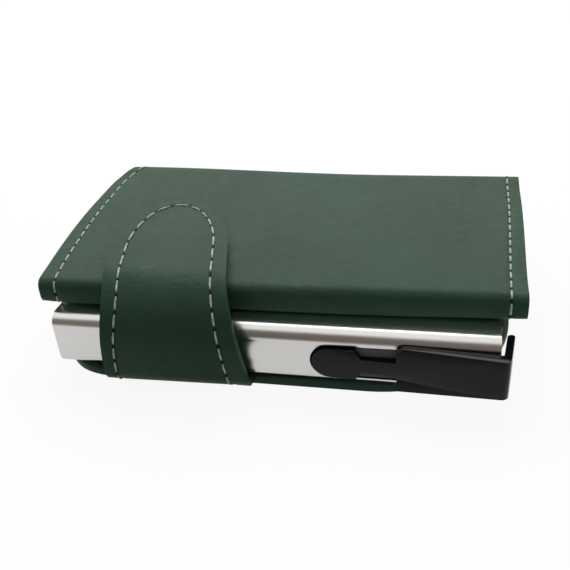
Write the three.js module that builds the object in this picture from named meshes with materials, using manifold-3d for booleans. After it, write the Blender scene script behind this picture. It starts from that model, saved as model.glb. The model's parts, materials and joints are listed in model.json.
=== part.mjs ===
// Aluminium card wallet: an extruded card case with a side trigger and a stepped ejector,
// taped into a wrap of soft leather that has a back panel, a spine, a padded cover and a closing strap.
// Millimetres. +X runs from the case's mouth to its trigger end, -Y is the open side with the strap,
// +Z is up, and the wallet lies on its back panel at Z = 0 with the origin in the middle below it.
import * as THREE from "three";
import { mergeVertices } from "three/addons/utils/BufferGeometryUtils.js";
import Module from "manifold-3d";

const wasm = await Module();
wasm.setup();

// General fits
const GLUE_LINE = 0.05; // between layers that are glued or sewn together
const SLIDE_FIT = 0.1; // round what is pushed into the case
const CREASE_GAP = 0.3; // where leather is split at a fold
const OVERRUN = 4; // how far a cutting body runs past what it cuts
const WELD = 1e-4; // vertices closer than this are one
const BEND_STEPS = 6; // facets in a quarter bend of leather
const HOLE_STEPS = 24; // facets round a pin or a hole

// Case: drawn aluminium tube, open at the mouth and at the base
const TUBE_HEIGHT = 12.8;
const TUBE_WALL = 1.1;
const TUBE_EDGE_RADIUS = 2.7;
const SLOT_LENGTH = 37.8;
const SLOT_ABOVE_BOTTOM = 1.8;
const SLOT_BELOW_TOP = 3.2;

// Card lane inside the case, which sets how long and wide the case is
const LANE_WIDTH = 54.8;
const LANE_LENGTH = 86;
const LANE_INSET = 5; // from the open side of the case
const FAR_RAIL = 3; // between the lane and the far wall
const BASE_DEPTH = 9; // behind the lane, for the ejector and the end wall

// Moulded insert in the base of the case
const INSERT_SET_BACK = 0.3;
const END_WALL = 2.2;
const END_WALL_START = 12.5; // from the open side of the case
const EAR_LENGTH = 11;
const EAR_THICKNESS = 0.8;
const RAIL_STOP = 3; // from the mouth
const RAIL_SLOT_GAP = 1.2; // between the near rail and the end of the slot

// Pivot pin of the trigger
const PIN_RADIUS = 1;
const PIN_PLAY = 0.05;
const PIVOT_FROM_BASE = 2.8;
const PIVOT_FROM_SIDE = 9;

// Trigger: side leg with pad and neck, short leg round the corner, hub and stepped ejector
const HUB_RADIUS = 2.6;
const LEG_STAND_OFF = 0.6; // from the side of the case
const LEG_OVER_SLOT = 1.4; // above and below the slot
const LEG_OVER_SLOT_AT_CORNER = 0.6;
const LEG_LENGTH = 20;
const LEG_CORNER_RADIUS = 2;
const LEG_PROUD_AT_CORNER = 2.9;
const PAD_PROUD = 0.5;
const PAD_DEPTH = 2.1;
const PAD_LENGTH = 10.3;
const PAD_SHOULDER = 1.2; // sloping end of the pad, towards the neck
const NECK_INSET = 2.25; // from the edges of the slot
const TRIGGER_SLOT_PLAY = 0.4;
const END_LEG_GAP = 1;
const END_LEG_THICKNESS = 1.5;
const END_LEG_REACH = 7;
const END_LEG_OVER_SLOT = 0.4;
const OUTER_CORNER_RADIUS = 1.2;
const WEB_DEPTH = 3.5; // how far the rib of the side leg reaches into the slot
const WEB_NARROW = 2; // and at its far end
const WEB_RISE = 0.2; // above the lowest level of the ejector
const EJECTOR_STEPS = 6;
const EJECTOR_REACH = 36;
const EJECTOR_STEP = 4;
const EJECTOR_CLEAR_OF_CARDS = 0.5;
const EJECTOR_WIDTH = 4.6;
const EJECTOR_TIP_RADIUS = 2;
const EJECTOR_EAR_PLAY = 0.3;

// Friction pads at the mouth
const PAD_STRIP_WIDTH = 10;
const PAD_STRIP_THICKNESS = 0.8;
const PAD_STRIP_FROM_MOUTH = 4;
const PAD_STRIP_MARGIN = 2;

// Leather wrap
const WRAP_OVERHANG = 6; // past each end of the case
const LEATHER = 0.9;
const BACK_BOARD = 0.8;
const LINING = 0.4;
const TAPE = 0.2;
const TAPE_WIDTH = 12;
const TAPE_MARGIN = 8;
const BACK_CORNER_RADIUS = 20;
const BASE_CORNER_RADIUS = 30; // the corner by the trigger, and how much narrower the panel is there
const BASE_TAPER = 2.5;
const BACK_REACH = 0.3; // back panel in front of the case
const BOARD_INSET = 1.5;
const SPINE_RADIUS = 3.5;
const SPINE_SPACE = 4; // from the case to the outside of the spine

// Cover: leather folded round the open edge and back inside as a pocket
const COVER_ABOVE_CASE = 0.4;
const COVER_THICKNESS = 6.3;
const COVER_FRONT_INSET = 5.1; // open edge of the cover behind the side of the case
const COVER_FOAM = 1.6;
const COVER_BOARD = 1;
const POCKET_LEATHER = 0.8;
const POCKET_STEP = 7;
const POCKET_DEPTH = 40;
const COVER_FILL_INSET = 1.2;
const PLATE_RADIUS = 6;
const PLATE_THICKNESS = 0.6;

// Closing strap
const STRAP_LEATHER = 1.15;
const STRAP_LINING = 0.9;
const STRAP_STAND_OFF = 2.3; // inner face of the strap to the side of the case
const STRAP_ON_COVER = 0.1;
const STRAP_LOW_RADIUS = 3.6;
const STRAP_HIGH_RADIUS = 12.5;
const STRAP_ROOT_DEPTH = 14;
const STRAP_ROOT_THICKNESS = 0.8;
const STRAP_ROOT_PLAY = 0.3;
const STRAP_CENTRE = 28.5; // from the mouth of the case
const STRAP_TAB_WIDTH = 27;
const STRAP_FOOT_WIDTH = 31.5;
const STRAP_LEAN_SHARE = 0.256; // sideways run of the tab for each millimetre of reach
const STRAP_TIP_REACH = 47.8; // from the outside of the strap to the tip, along the tab
const STRAP_TIP_LENGTH = 28;
const MAGNET_RADIUS = 5;
const MAGNET_THICKNESS = 0.7;
const MAGNET_FROM_TIP = 11;

// Levels above the table and places across the wallet, worked out from the sizes
const tubeLength = LANE_LENGTH + BASE_DEPTH;
const tubeWidth = LANE_INSET + LANE_WIDTH + FAR_RAIL + SLIDE_FIT + TUBE_WALL;
const strapThickness = STRAP_LEATHER + GLUE_LINE + STRAP_LINING;
const frontReach = STRAP_STAND_OFF + strapThickness;
const tubeFront = (frontReach - SPINE_SPACE - tubeWidth) / 2;
const tubeRear = tubeFront + tubeWidth;
const spineOuter = tubeRear + SPINE_SPACE;
const strapOuter = tubeFront - frontReach;
const mouthX = -tubeLength / 2;
const baseX = tubeLength / 2;
const boardTop = LEATHER + GLUE_LINE + BACK_BOARD;
const liningTop = boardTop + GLUE_LINE + LINING;
const tubeBottom = liningTop + TAPE + 2 * GLUE_LINE;
const tubeTop = tubeBottom + TUBE_HEIGHT;
const coverBottom = tubeTop + COVER_ABOVE_CASE;
const coverTop = coverBottom + COVER_THICKNESS;
const coverFront = tubeFront + COVER_FRONT_INSET;
const slotHeight = TUBE_HEIGHT - SLOT_ABOVE_BOTTOM - SLOT_BELOW_TOP;
const slotMiddle = tubeBottom + SLOT_ABOVE_BOTTOM + slotHeight / 2;
const laneFront = tubeFront + LANE_INSET;
const laneRear = laneFront + LANE_WIDTH;
const pivotX = baseX - PIVOT_FROM_BASE;
const pivotY = tubeFront + PIVOT_FROM_SIDE;

// Materials
const material = (color, roughness, metalness) =>
  new THREE.MeshStandardMaterial({ color, roughness, metalness });
const satinAluminium = material("#c6c7c8", 0.34, 1);
const brightSteel = material("#b9bbbd", 0.25, 1);
const blackPlastic = material("#1d1e1f", 0.35, 0);
const greenLeather = material("#33503f", 0.55, 0);
const blackLining = material("#181a19", 0.8, 0);
const greyBoard = material("#8b8778", 0.9, 0);
const whiteFoam = material("#d8d6cf", 0.95, 0);
const clearTape = material("#cfcfc6", 0.5, 0);
const blackFelt = material("#202224", 0.95, 0);
const darkMagnet = material("#3a3532", 0.8, 0);

// Solids: a section drawn in a plane and swept square to it
const alongX = new THREE.Matrix4().makeBasis(
  new THREE.Vector3(0, 1, 0),
  new THREE.Vector3(0, 0, 1),
  new THREE.Vector3(1, 0, 0),
);
const alongY = new THREE.Matrix4().makeBasis(
  new THREE.Vector3(0, 0, 1),
  new THREE.Vector3(1, 0, 0),
  new THREE.Vector3(0, 1, 0),
);
const alongZ = new THREE.Matrix4();

function solidOf(geometry) {
  const bare = geometry.clone();
  bare.deleteAttribute("normal");
  bare.deleteAttribute("uv");
  const merged = mergeVertices(bare, WELD);
  return new wasm.Manifold(
    new wasm.Mesh({
      numProp: 3,
      vertProperties: new Float32Array(merged.attributes.position.array),
      triVerts: new Uint32Array(merged.index.array),
    }),
  );
}

function sweep(outline, frame, from, to) {
  const shape = Array.isArray(outline) ? new THREE.Shape(outline) : outline;
  const geometry = new THREE.ExtrudeGeometry(shape, {
    depth: to - from,
    bevelEnabled: false,
    curveSegments: BEND_STEPS,
  });
  geometry.translate(0, 0, from);
  return solidOf(geometry.applyMatrix4(frame));
}

function block([x0, y0, z0], [x1, y1, z1]) {
  const geometry = new THREE.BoxGeometry(x1 - x0, y1 - y0, z1 - z0);
  return solidOf(geometry.translate((x0 + x1) / 2, (y0 + y1) / 2, (z0 + z1) / 2));
}

function disc(x, y, radius, from, to) {
  const geometry = new THREE.CylinderGeometry(radius, radius, to - from, HOLE_STEPS);
  return solidOf(geometry.rotateX(Math.PI / 2).translate(x, y, (from + to) / 2));
}

const join = (first, ...rest) => rest.reduce((sum, next) => sum.add(next), first);

function roundedBox(x0, y0, x1, y1, radius) {
  const shape = new THREE.Shape();
  shape.absarc(x1 - radius, y0 + radius, radius, -Math.PI / 2, 0);
  shape.absarc(x1 - radius, y1 - radius, radius, 0, Math.PI / 2);
  shape.absarc(x0 + radius, y1 - radius, radius, Math.PI / 2, Math.PI);
  shape.absarc(x0 + radius, y0 + radius, radius, Math.PI, 1.5 * Math.PI);
  return shape;
}

const wallet = new THREE.Group();

function addPart(name, solid, surface) {
  const { numProp, vertProperties, triVerts } = solid.getMesh();
  const geometry = new THREE.BufferGeometry();
  const buffer = new THREE.InterleavedBuffer(vertProperties, numProp);
  geometry.setAttribute("position", new THREE.InterleavedBufferAttribute(buffer, 3, 0));
  geometry.setIndex(new THREE.BufferAttribute(triVerts, 1));
  const flat = geometry.toNonIndexed();
  flat.computeVertexNormals();
  const mesh = new THREE.Mesh(flat, surface);
  mesh.name = name;
  wallet.add(mesh);
}

// A course is the outside of a bent sheet seen in section: a start, a heading, then straight runs
// and quarter bends to one side. Layers of the sheet lie at depths on that same side.
function trace({ start, heading, side, steps }, depth) {
  let [u, v] = start;
  let angle = heading;
  const points = [];
  const inward = () => [-side * Math.sin(angle), side * Math.cos(angle)];
  const mark = () => {
    const [nu, nv] = inward();
    points.push(new THREE.Vector2(u + depth * nu, v + depth * nv));
  };
  mark();
  for (const { run, bend, share = 1 } of steps) {
    if (run !== undefined) {
      u += run * Math.cos(angle);
      v += run * Math.sin(angle);
      mark();
      continue;
    }
    const [nu, nv] = inward();
    const centre = [u + bend * nu, v + bend * nv];
    const from = angle;
    const count = Math.ceil(BEND_STEPS * share);
    for (let i = 1; i <= count; i++) {
      angle = from + (side * share * i * Math.PI) / 2 / count;
      const [mu, mv] = inward();
      u = centre[0] - bend * mu;
      v = centre[1] - bend * mv;
      mark();
    }
  }
  return points;
}

function layer(course, from, to) {
  return [...trace(course, from), ...trace(course, to).reverse()];
}

// Case
function caseTube() {
  const outline = roundedBox(
    tubeFront, tubeBottom, tubeRear, tubeTop, TUBE_EDGE_RADIUS,
  );
  const bore = roundedBox(
    tubeFront + TUBE_WALL, tubeBottom + TUBE_WALL,
    tubeRear - TUBE_WALL, tubeTop - TUBE_WALL,
    TUBE_EDGE_RADIUS - TUBE_WALL,
  );
  const slotRadius = slotHeight / 2;
  const slotEnd = baseX - SLOT_LENGTH + slotRadius;
  const slot = new THREE.Shape();
  slot.absarc(slotMiddle, slotEnd, slotRadius, Math.PI, 2 * Math.PI);
  slot.lineTo(slotMiddle + slotRadius, baseX + OVERRUN);
  slot.lineTo(slotMiddle - slotRadius, baseX + OVERRUN);
  return sweep(outline, alongX, mouthX, baseX)
    .subtract(sweep(bore, alongX, mouthX - OVERRUN, baseX + OVERRUN))
    .subtract(sweep(slot, alongY, tubeFront - OVERRUN, tubeFront + TUBE_WALL + OVERRUN));
}

// The space inside the tube that a snug piece may fill
function boreEnvelope() {
  const inset = TUBE_WALL + SLIDE_FIT;
  const outline = roundedBox(
    tubeFront + inset, tubeBottom + inset,
    tubeRear - inset, tubeTop - inset,
    TUBE_EDGE_RADIUS - TUBE_WALL,
  );
  return sweep(outline, alongX, mouthX + RAIL_STOP, baseX - INSERT_SET_BACK);
}

// End wall, far rail, near rail beyond the slot, and the two ears that hold the pivot pin
function baseInsert() {
  const low = tubeBottom;
  const high = tubeTop;
  const earLow = tubeBottom + TUBE_WALL + SLIDE_FIT + EAR_THICKNESS;
  const earHigh = tubeTop - TUBE_WALL - SLIDE_FIT - EAR_THICKNESS;
  const wallY = tubeFront + END_WALL_START;
  const wallX = baseX - INSERT_SET_BACK - END_WALL;
  const earX = baseX - EAR_LENGTH;
  const nearRailY = laneFront - SLIDE_FIT;
  const nearRailX = baseX - SLOT_LENGTH - RAIL_SLOT_GAP;
  const body = join(
    block([wallX, wallY, low], [baseX, tubeRear, high]),
    block([mouthX, laneRear, low], [baseX, tubeRear, high]),
    block([earX, tubeFront, low], [baseX, wallY + END_WALL, earLow]),
    block([earX, tubeFront, earHigh], [baseX, wallY + END_WALL, high]),
    block([mouthX, tubeFront, low], [earX + END_WALL, nearRailY, earLow]),
    block([mouthX, tubeFront, earHigh], [earX + END_WALL, nearRailY, high]),
    block([mouthX, tubeFront, low], [nearRailX, nearRailY, high]),
  );
  const pinHole = disc(pivotX, pivotY, PIN_RADIUS + PIN_PLAY, low, high);
  return body.intersect(boreEnvelope()).subtract(pinHole);
}

function pivotPin() {
  const inset = TUBE_WALL + SLIDE_FIT;
  return disc(pivotX, pivotY, PIN_RADIUS, tubeBottom + inset, tubeTop - inset);
}

// Outside of the trigger in plan: one face that stands prouder towards the corner, round which it turns
function triggerPlan() {
  const padEnd = baseX - SLOT_LENGTH + TRIGGER_SLOT_PLAY;
  const legEnd = baseX - LEG_LENGTH;
  const outerX = baseX + END_LEG_GAP + END_LEG_THICKNESS;
  const innerX = baseX + END_LEG_GAP;
  const cornerY = tubeFront - LEG_PROUD_AT_CORNER;
  const reachY = tubeFront + END_LEG_REACH;
  const tipRadius = END_LEG_THICKNESS / 2;
  const shape = new THREE.Shape();
  shape.moveTo(padEnd, tubeFront - PAD_PROUD);
  shape.lineTo(outerX - OUTER_CORNER_RADIUS, cornerY);
  shape.absarc(
    outerX - OUTER_CORNER_RADIUS, cornerY + OUTER_CORNER_RADIUS,
    OUTER_CORNER_RADIUS, -Math.PI / 2, 0,
  );
  shape.absarc(outerX - tipRadius, reachY - tipRadius, tipRadius, 0, Math.PI);
  shape.lineTo(innerX, tubeFront - LEG_STAND_OFF);
  shape.lineTo(legEnd, tubeFront - LEG_STAND_OFF);
  shape.lineTo(legEnd, tubeFront - PAD_PROUD + PAD_DEPTH);
  shape.lineTo(padEnd, tubeFront - PAD_PROUD + PAD_DEPTH);
  return shape;
}

// The same outside seen from the side: round pad, narrow neck and wide leg (drawn with Z first, then X)
function triggerSide() {
  const padRadius = slotHeight / 2 - TRIGGER_SLOT_PLAY;
  const padEnd = baseX - SLOT_LENGTH + TRIGGER_SLOT_PLAY;
  const padStop = padEnd + PAD_LENGTH;
  const neck = slotHeight / 2 - NECK_INSET;
  const legStart = baseX - LEG_LENGTH;
  const leg = slotHeight / 2 + LEG_OVER_SLOT;
  const legAtCorner = slotHeight / 2 + LEG_OVER_SLOT_AT_CORNER;
  const outerX = baseX + END_LEG_GAP + END_LEG_THICKNESS;
  const at = (x, z) => [slotMiddle + z, x];
  const shape = new THREE.Shape();
  shape.absarc(...at(padEnd + padRadius, 0), padRadius, Math.PI, 2 * Math.PI);
  shape.lineTo(...at(padStop - PAD_SHOULDER, padRadius));
  shape.lineTo(...at(padStop, neck));
  shape.lineTo(...at(legStart, neck));
  shape.lineTo(...at(legStart, leg - LEG_CORNER_RADIUS));
  shape.absarc(
    ...at(legStart + LEG_CORNER_RADIUS, leg - LEG_CORNER_RADIUS),
    LEG_CORNER_RADIUS, 1.5 * Math.PI, 2 * Math.PI,
  );
  shape.lineTo(...at(outerX, legAtCorner));
  shape.lineTo(...at(outerX, -legAtCorner));
  shape.lineTo(...at(legStart, -leg));
  shape.lineTo(...at(legStart, -neck));
  shape.lineTo(...at(padStop, -neck));
  shape.lineTo(...at(padStop - PAD_SHOULDER, -padRadius));
  return shape;
}

// The rib that goes in through the slot and carries the hub
function triggerWeb() {
  const shape = new THREE.Shape();
  shape.moveTo(baseX - LEG_LENGTH, tubeFront - LEG_STAND_OFF - GLUE_LINE);
  shape.lineTo(baseX - SLIDE_FIT, tubeFront - LEG_STAND_OFF - GLUE_LINE);
  shape.lineTo(pivotX + HUB_RADIUS, pivotY);
  shape.lineTo(pivotX - HUB_RADIUS - EJECTOR_WIDTH / 2, pivotY);
  shape.lineTo(baseX - EAR_LENGTH, tubeFront + WEB_DEPTH);
  shape.lineTo(baseX - LEG_LENGTH, tubeFront + WEB_NARROW);
  return shape;
}

// One level of the ejector in plan: a finger square to the side leg, with a round pushing tip
function ejectorFinger(reach) {
  const frontX = baseX - BASE_DEPTH + EJECTOR_CLEAR_OF_CARDS;
  const backX = frontX + EJECTOR_WIDTH;
  const tipY = pivotY + reach;
  const shape = new THREE.Shape();
  shape.moveTo(frontX, pivotY - HUB_RADIUS);
  shape.lineTo(backX, pivotY - HUB_RADIUS);
  shape.lineTo(backX, tipY - EJECTOR_TIP_RADIUS);
  shape.absarc(backX - EJECTOR_TIP_RADIUS, tipY - EJECTOR_TIP_RADIUS, EJECTOR_TIP_RADIUS, 0, Math.PI / 2);
  shape.absarc(frontX + EJECTOR_TIP_RADIUS, tipY - EJECTOR_TIP_RADIUS, EJECTOR_TIP_RADIUS, Math.PI / 2, Math.PI);
  return shape;
}

function triggerLever() {
  const slotPart = slotHeight / 2 - TRIGGER_SLOT_PLAY;
  const endLeg = slotHeight / 2 + END_LEG_OVER_SLOT;
  const earInset = TUBE_WALL + SLIDE_FIT + EAR_THICKNESS + EJECTOR_EAR_PLAY;
  const low = tubeBottom + earInset;
  const high = tubeTop - earInset;
  const outside = sweep(triggerPlan(), alongZ, tubeBottom, tubeTop).intersect(
    sweep(triggerSide(), alongY, strapOuter, pivotY),
  );
  const endLegTrim = [-1, 1].map((end) =>
    block(
      [baseX, tubeFront, slotMiddle + (end < 0 ? -TUBE_HEIGHT : endLeg)],
      [baseX + OVERRUN, pivotY, slotMiddle + (end < 0 ? -endLeg : TUBE_HEIGHT)],
    ),
  );
  const web = sweep(triggerWeb(), alongZ, low + WEB_RISE, slotMiddle + slotPart);
  const hub = disc(pivotX, pivotY, HUB_RADIUS, low, high);
  const level = (high - low) / EJECTOR_STEPS;
  const fan = [];
  for (let i = 0; i < EJECTOR_STEPS; i++) {
    const finger = ejectorFinger(EJECTOR_REACH - i * EJECTOR_STEP);
    fan.push(sweep(finger, alongZ, low, low + (i + 1) * level));
  }
  const pinHole = disc(pivotX, pivotY, PIN_RADIUS + PIN_PLAY, low - OVERRUN, high + OVERRUN);
  return join(outside, web, hub, ...fan)
    .subtract(pinHole)
    .subtract(endLegTrim[0])
    .subtract(endLegTrim[1]);
}

// Strips of felt that hold the cards at the mouth
function frictionPad(from) {
  const x = mouthX + PAD_STRIP_FROM_MOUTH;
  return block(
    [x, laneFront + PAD_STRIP_MARGIN, from],
    [x + PAD_STRIP_WIDTH, laneRear - PAD_STRIP_MARGIN, from + PAD_STRIP_THICKNESS],
  );
}

function tapeStrip(y) {
  return block(
    [mouthX + TAPE_MARGIN, y, liningTop + GLUE_LINE],
    [baseX - TAPE_MARGIN, y + TAPE_WIDTH, liningTop + GLUE_LINE + TAPE],
  );
}

// Leather wrap: back, spine and cover follow one course, split at the two creases of the spine
const spineCreaseLow = SPINE_RADIUS + CREASE_GAP / 2;
const spineCreaseHigh = coverTop - SPINE_RADIUS - CREASE_GAP / 2;
const backFront = tubeFront - BACK_REACH;
const foldRadius = COVER_THICKNESS / 2;
const wrapEnd = tubeLength / 2 + WRAP_OVERHANG;

const backCourse = {
  start: [backFront, 0],
  heading: 0,
  side: 1,
  steps: [{ run: spineOuter - SPINE_RADIUS - backFront }, { bend: SPINE_RADIUS }],
};
const spineCourse = {
  start: [spineOuter, SPINE_RADIUS + CREASE_GAP],
  heading: Math.PI / 2,
  side: 1,
  steps: [{ run: coverTop - 2 * SPINE_RADIUS - 2 * CREASE_GAP }],
};
const coverCourse = {
  start: [spineOuter, coverTop - SPINE_RADIUS],
  heading: Math.PI / 2,
  side: 1,
  steps: [
    { bend: SPINE_RADIUS },
    { run: spineOuter - SPINE_RADIUS - coverFront - foldRadius },
    { bend: foldRadius, share: 2 },
    { run: POCKET_DEPTH },
  ],
};

// Plan of the back panel: both free corners are well rounded, and it narrows towards the trigger
function backPlan(inset) {
  const end = wrapEnd - inset;
  const baseEnd = end - BASE_TAPER;
  const front = backFront + inset;
  const radius = BACK_CORNER_RADIUS - inset;
  const baseRadius = BASE_CORNER_RADIUS - inset;
  const shape = new THREE.Shape();
  shape.absarc(radius - end, front + radius, radius, Math.PI, 1.5 * Math.PI);
  shape.absarc(baseEnd - baseRadius, front + baseRadius, baseRadius, 1.5 * Math.PI, 2 * Math.PI);
  shape.lineTo(end, spineOuter + OVERRUN);
  shape.lineTo(-end, spineOuter + OVERRUN);
  return sweep(shape, alongZ, -OVERRUN, spineCreaseLow + OVERRUN);
}

function backLeather() {
  return sweep(layer(backCourse, 0, LEATHER), alongX, -wrapEnd, wrapEnd).intersect(backPlan(0));
}

function backBoard() {
  const rear = spineOuter - SPINE_RADIUS - BOARD_INSET;
  const sheet = block([-wrapEnd, backFront, LEATHER + GLUE_LINE], [wrapEnd, rear, boardTop]);
  const notchHalf = STRAP_FOOT_WIDTH / 2 + STRAP_ROOT_PLAY;
  const notchX = mouthX + STRAP_CENTRE;
  const notch = block(
    [notchX - notchHalf, backFront - OVERRUN, 0],
    [notchX + notchHalf, tubeFront + STRAP_ROOT_DEPTH + STRAP_ROOT_PLAY, boardTop + OVERRUN],
  );
  return sheet.intersect(backPlan(BOARD_INSET)).subtract(notch);
}

function backLining() {
  const rear = spineOuter - SPINE_RADIUS;
  const sheet = block([-wrapEnd, backFront, boardTop + GLUE_LINE], [wrapEnd, rear, liningTop]);
  return sheet.intersect(backPlan(0));
}

const spineLeather = () => sweep(layer(spineCourse, 0, LEATHER), alongX, -wrapEnd, wrapEnd);

const spineLining = () =>
  sweep(
    layer(spineCourse, LEATHER + GLUE_LINE, LEATHER + GLUE_LINE + LINING),
    alongX, -wrapEnd, wrapEnd,
  );

const coverLeather = () => sweep(layer(coverCourse, 0, LEATHER), alongX, -wrapEnd, wrapEnd);

// A flat layer inside the cover, by how deep it lies below the top and where it ends near the spine
function coverSheet(depth, thickness, rear) {
  const front = coverFront + foldRadius;
  const end = wrapEnd - COVER_FILL_INSET;
  return block([-end, front, coverTop - depth - thickness], [end, rear, coverTop - depth]);
}

const foamDepth = LEATHER + GLUE_LINE;
const coverBoardDepth = foamDepth + COVER_FOAM + GLUE_LINE;
const coverLiningDepth = coverBoardDepth + COVER_BOARD + GLUE_LINE;
const pocketSpace = COVER_THICKNESS - LEATHER - coverLiningDepth - LINING;
const pocketDepth = coverLiningDepth + LINING + (pocketSpace - POCKET_LEATHER) / 2;
const coverFillRear = spineOuter - SPINE_RADIUS;
const pocketRear = coverFront + foldRadius + POCKET_DEPTH + POCKET_STEP;

// Strap: the foot bends up from inside the back panel, the side stands clear of the case,
// and the tab bends over the open edge of the cover and leans towards the mouth
const strapRootLevel = LEATHER + GLUE_LINE;
const strapTop = coverTop + STRAP_ON_COVER + strapThickness;
const strapCreaseLow = strapRootLevel + STRAP_LOW_RADIUS + CREASE_GAP / 2;
const strapX = mouthX + STRAP_CENTRE;
const strapLean = Math.atan(STRAP_LEAN_SHARE);
const tabHalf = STRAP_TAB_WIDTH / 2;
const creaseShare = CREASE_GAP / (Math.PI * STRAP_HIGH_RADIUS);
const halfBend = { bend: STRAP_HIGH_RADIUS, share: 1 / 2 - creaseShare };

function onward(course, steps) {
  const points = trace(course, 0);
  const last = points[points.length - 1];
  const turned = course.steps.reduce((sum, { bend, share = 1 }) => sum + (bend ? share : 0), 0);
  return {
    start: [last.x, last.y],
    heading: course.heading + (course.side * turned * Math.PI) / 2,
    side: course.side,
    steps,
  };
}

const strapTongue = {
  start: [tubeFront + STRAP_ROOT_DEPTH, strapRootLevel],
  heading: Math.PI,
  side: -1,
  steps: [{ run: tubeFront + STRAP_ROOT_DEPTH - strapOuter - STRAP_LOW_RADIUS }],
};
const strapFoot = onward(strapTongue, [{ bend: STRAP_LOW_RADIUS }]);
const strapSide = {
  start: [strapOuter, strapCreaseLow + CREASE_GAP / 2],
  heading: Math.PI / 2,
  side: -1,
  steps: [
    { run: strapTop - STRAP_HIGH_RADIUS - strapCreaseLow - CREASE_GAP / 2 },
    halfBend,
  ],
};
const strapCrease = onward(strapSide, [{ bend: STRAP_HIGH_RADIUS, share: 2 * creaseShare }]);
const strapTab = onward(strapCrease, [halfBend, { run: STRAP_TIP_REACH }]);

// The strap seen from its open side: it widens towards the foot
function strapFace() {
  const top = tabHalf / Math.cos(strapLean);
  const foot = STRAP_FOOT_WIDTH / 2;
  return sweep(
    [
      new THREE.Vector2(0, strapX - foot),
      new THREE.Vector2(strapTop, strapX - top),
      new THREE.Vector2(strapTop, strapX + top),
      new THREE.Vector2(0, strapX + foot),
    ],
    alongY, strapOuter - OVERRUN, tubeFront + STRAP_ROOT_DEPTH + OVERRUN,
  );
}

// A place on the leaning tab: reach along it from the outside of the strap, and offset across it
function onTab(reach, across) {
  const place = new THREE.Vector2(across, reach).rotateAround(new THREE.Vector2(), strapLean);
  return place.add(new THREE.Vector2(strapX, strapOuter));
}

function tabPlan() {
  const outline = new THREE.Shape();
  const straight = STRAP_TIP_REACH - STRAP_TIP_LENGTH;
  outline.moveTo(-tabHalf, -STRAP_TAB_WIDTH);
  outline.lineTo(tabHalf, -STRAP_TAB_WIDTH);
  outline.absellipse(0, straight, tabHalf, STRAP_TIP_LENGTH, 0, Math.PI);
  const leaning = outline.getPoints(BEND_STEPS).map(({ x, y }) => onTab(y, x));
  return sweep(leaning, alongZ, 0, strapTop + OVERRUN);
}

const strapPiece = (course, from, to) =>
  sweep(layer(course, from, to), alongX, -wrapEnd, wrapEnd);

function strapRoot() {
  const section = [
    ...trace(strapTongue, 0),
    ...trace(strapFoot, 0),
    ...trace(strapFoot, strapThickness).reverse(),
    ...trace(strapTongue, STRAP_ROOT_THICKNESS).reverse(),
  ];
  return sweep(section, alongX, -wrapEnd, wrapEnd).intersect(strapFace());
}

const magnetPlace = onTab(STRAP_TIP_REACH - MAGNET_FROM_TIP, 0);
const magnetTop = strapTop - STRAP_LEATHER - GLUE_LINE;
const magnetAt = (radius, thickness) =>
  disc(magnetPlace.x, magnetPlace.y, radius, magnetTop - thickness, magnetTop);

function strapTabLining() {
  const pocket = magnetAt(MAGNET_RADIUS + SLIDE_FIT, MAGNET_THICKNESS + GLUE_LINE);
  return strapPiece(strapTab, STRAP_LEATHER + GLUE_LINE, strapThickness)
    .intersect(tabPlan())
    .subtract(pocket);
}

// Steel plate under the cover leather, where the strap's magnet lands
const plateAt = (radius, thickness) =>
  disc(
    magnetPlace.x, magnetPlace.y, radius,
    coverTop - foamDepth - thickness, coverTop - foamDepth,
  );

addPart("case_tube", caseTube(), satinAluminium);
addPart("base_insert", baseInsert(), blackPlastic);
addPart("pivot_pin", pivotPin(), brightSteel);
addPart("trigger_lever", triggerLever(), blackPlastic);
addPart("friction_pad_lower", frictionPad(tubeBottom + TUBE_WALL + GLUE_LINE), blackFelt);
addPart(
  "friction_pad_upper",
  frictionPad(tubeTop - TUBE_WALL - GLUE_LINE - PAD_STRIP_THICKNESS),
  blackFelt,
);
addPart("tape_strip_front", tapeStrip(tubeFront + TAPE_MARGIN), clearTape);
addPart("tape_strip_rear", tapeStrip(tubeRear - TAPE_MARGIN - TAPE_WIDTH), clearTape);

addPart("back_leather", backLeather(), greenLeather);
addPart("back_board", backBoard(), greyBoard);
addPart("back_lining", backLining(), blackLining);
addPart("spine_leather", spineLeather(), greenLeather);
addPart("spine_lining", spineLining(), blackLining);
addPart("cover_leather", coverLeather(), greenLeather);
addPart(
  "cover_foam",
  coverSheet(foamDepth, COVER_FOAM, coverFillRear)
    .subtract(plateAt(PLATE_RADIUS + SLIDE_FIT, PLATE_THICKNESS + GLUE_LINE)),
  whiteFoam,
);
addPart("strike_plate", plateAt(PLATE_RADIUS, PLATE_THICKNESS), brightSteel);
addPart("cover_board", coverSheet(coverBoardDepth, COVER_BOARD, coverFillRear), greyBoard);
addPart("cover_lining", coverSheet(coverLiningDepth, LINING, coverFillRear), blackLining);
addPart("pocket_panel", coverSheet(pocketDepth, POCKET_LEATHER, pocketRear), greenLeather);

addPart("strap_root", strapRoot(), greenLeather);
addPart(
  "strap_side_leather",
  strapPiece(strapSide, 0, STRAP_LEATHER).intersect(strapFace()),
  greenLeather,
);
addPart(
  "strap_side_lining",
  strapPiece(strapSide, STRAP_LEATHER + GLUE_LINE, strapThickness).intersect(strapFace()),
  greenLeather,
);
addPart(
  "strap_tab_leather",
  strapPiece(strapTab, 0, STRAP_LEATHER).intersect(tabPlan()),
  greenLeather,
);
addPart("strap_tab_lining", strapTabLining(), greenLeather);
addPart("strap_magnet", magnetAt(MAGNET_RADIUS, MAGNET_THICKNESS), darkMagnet);

export default wallet;
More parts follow.
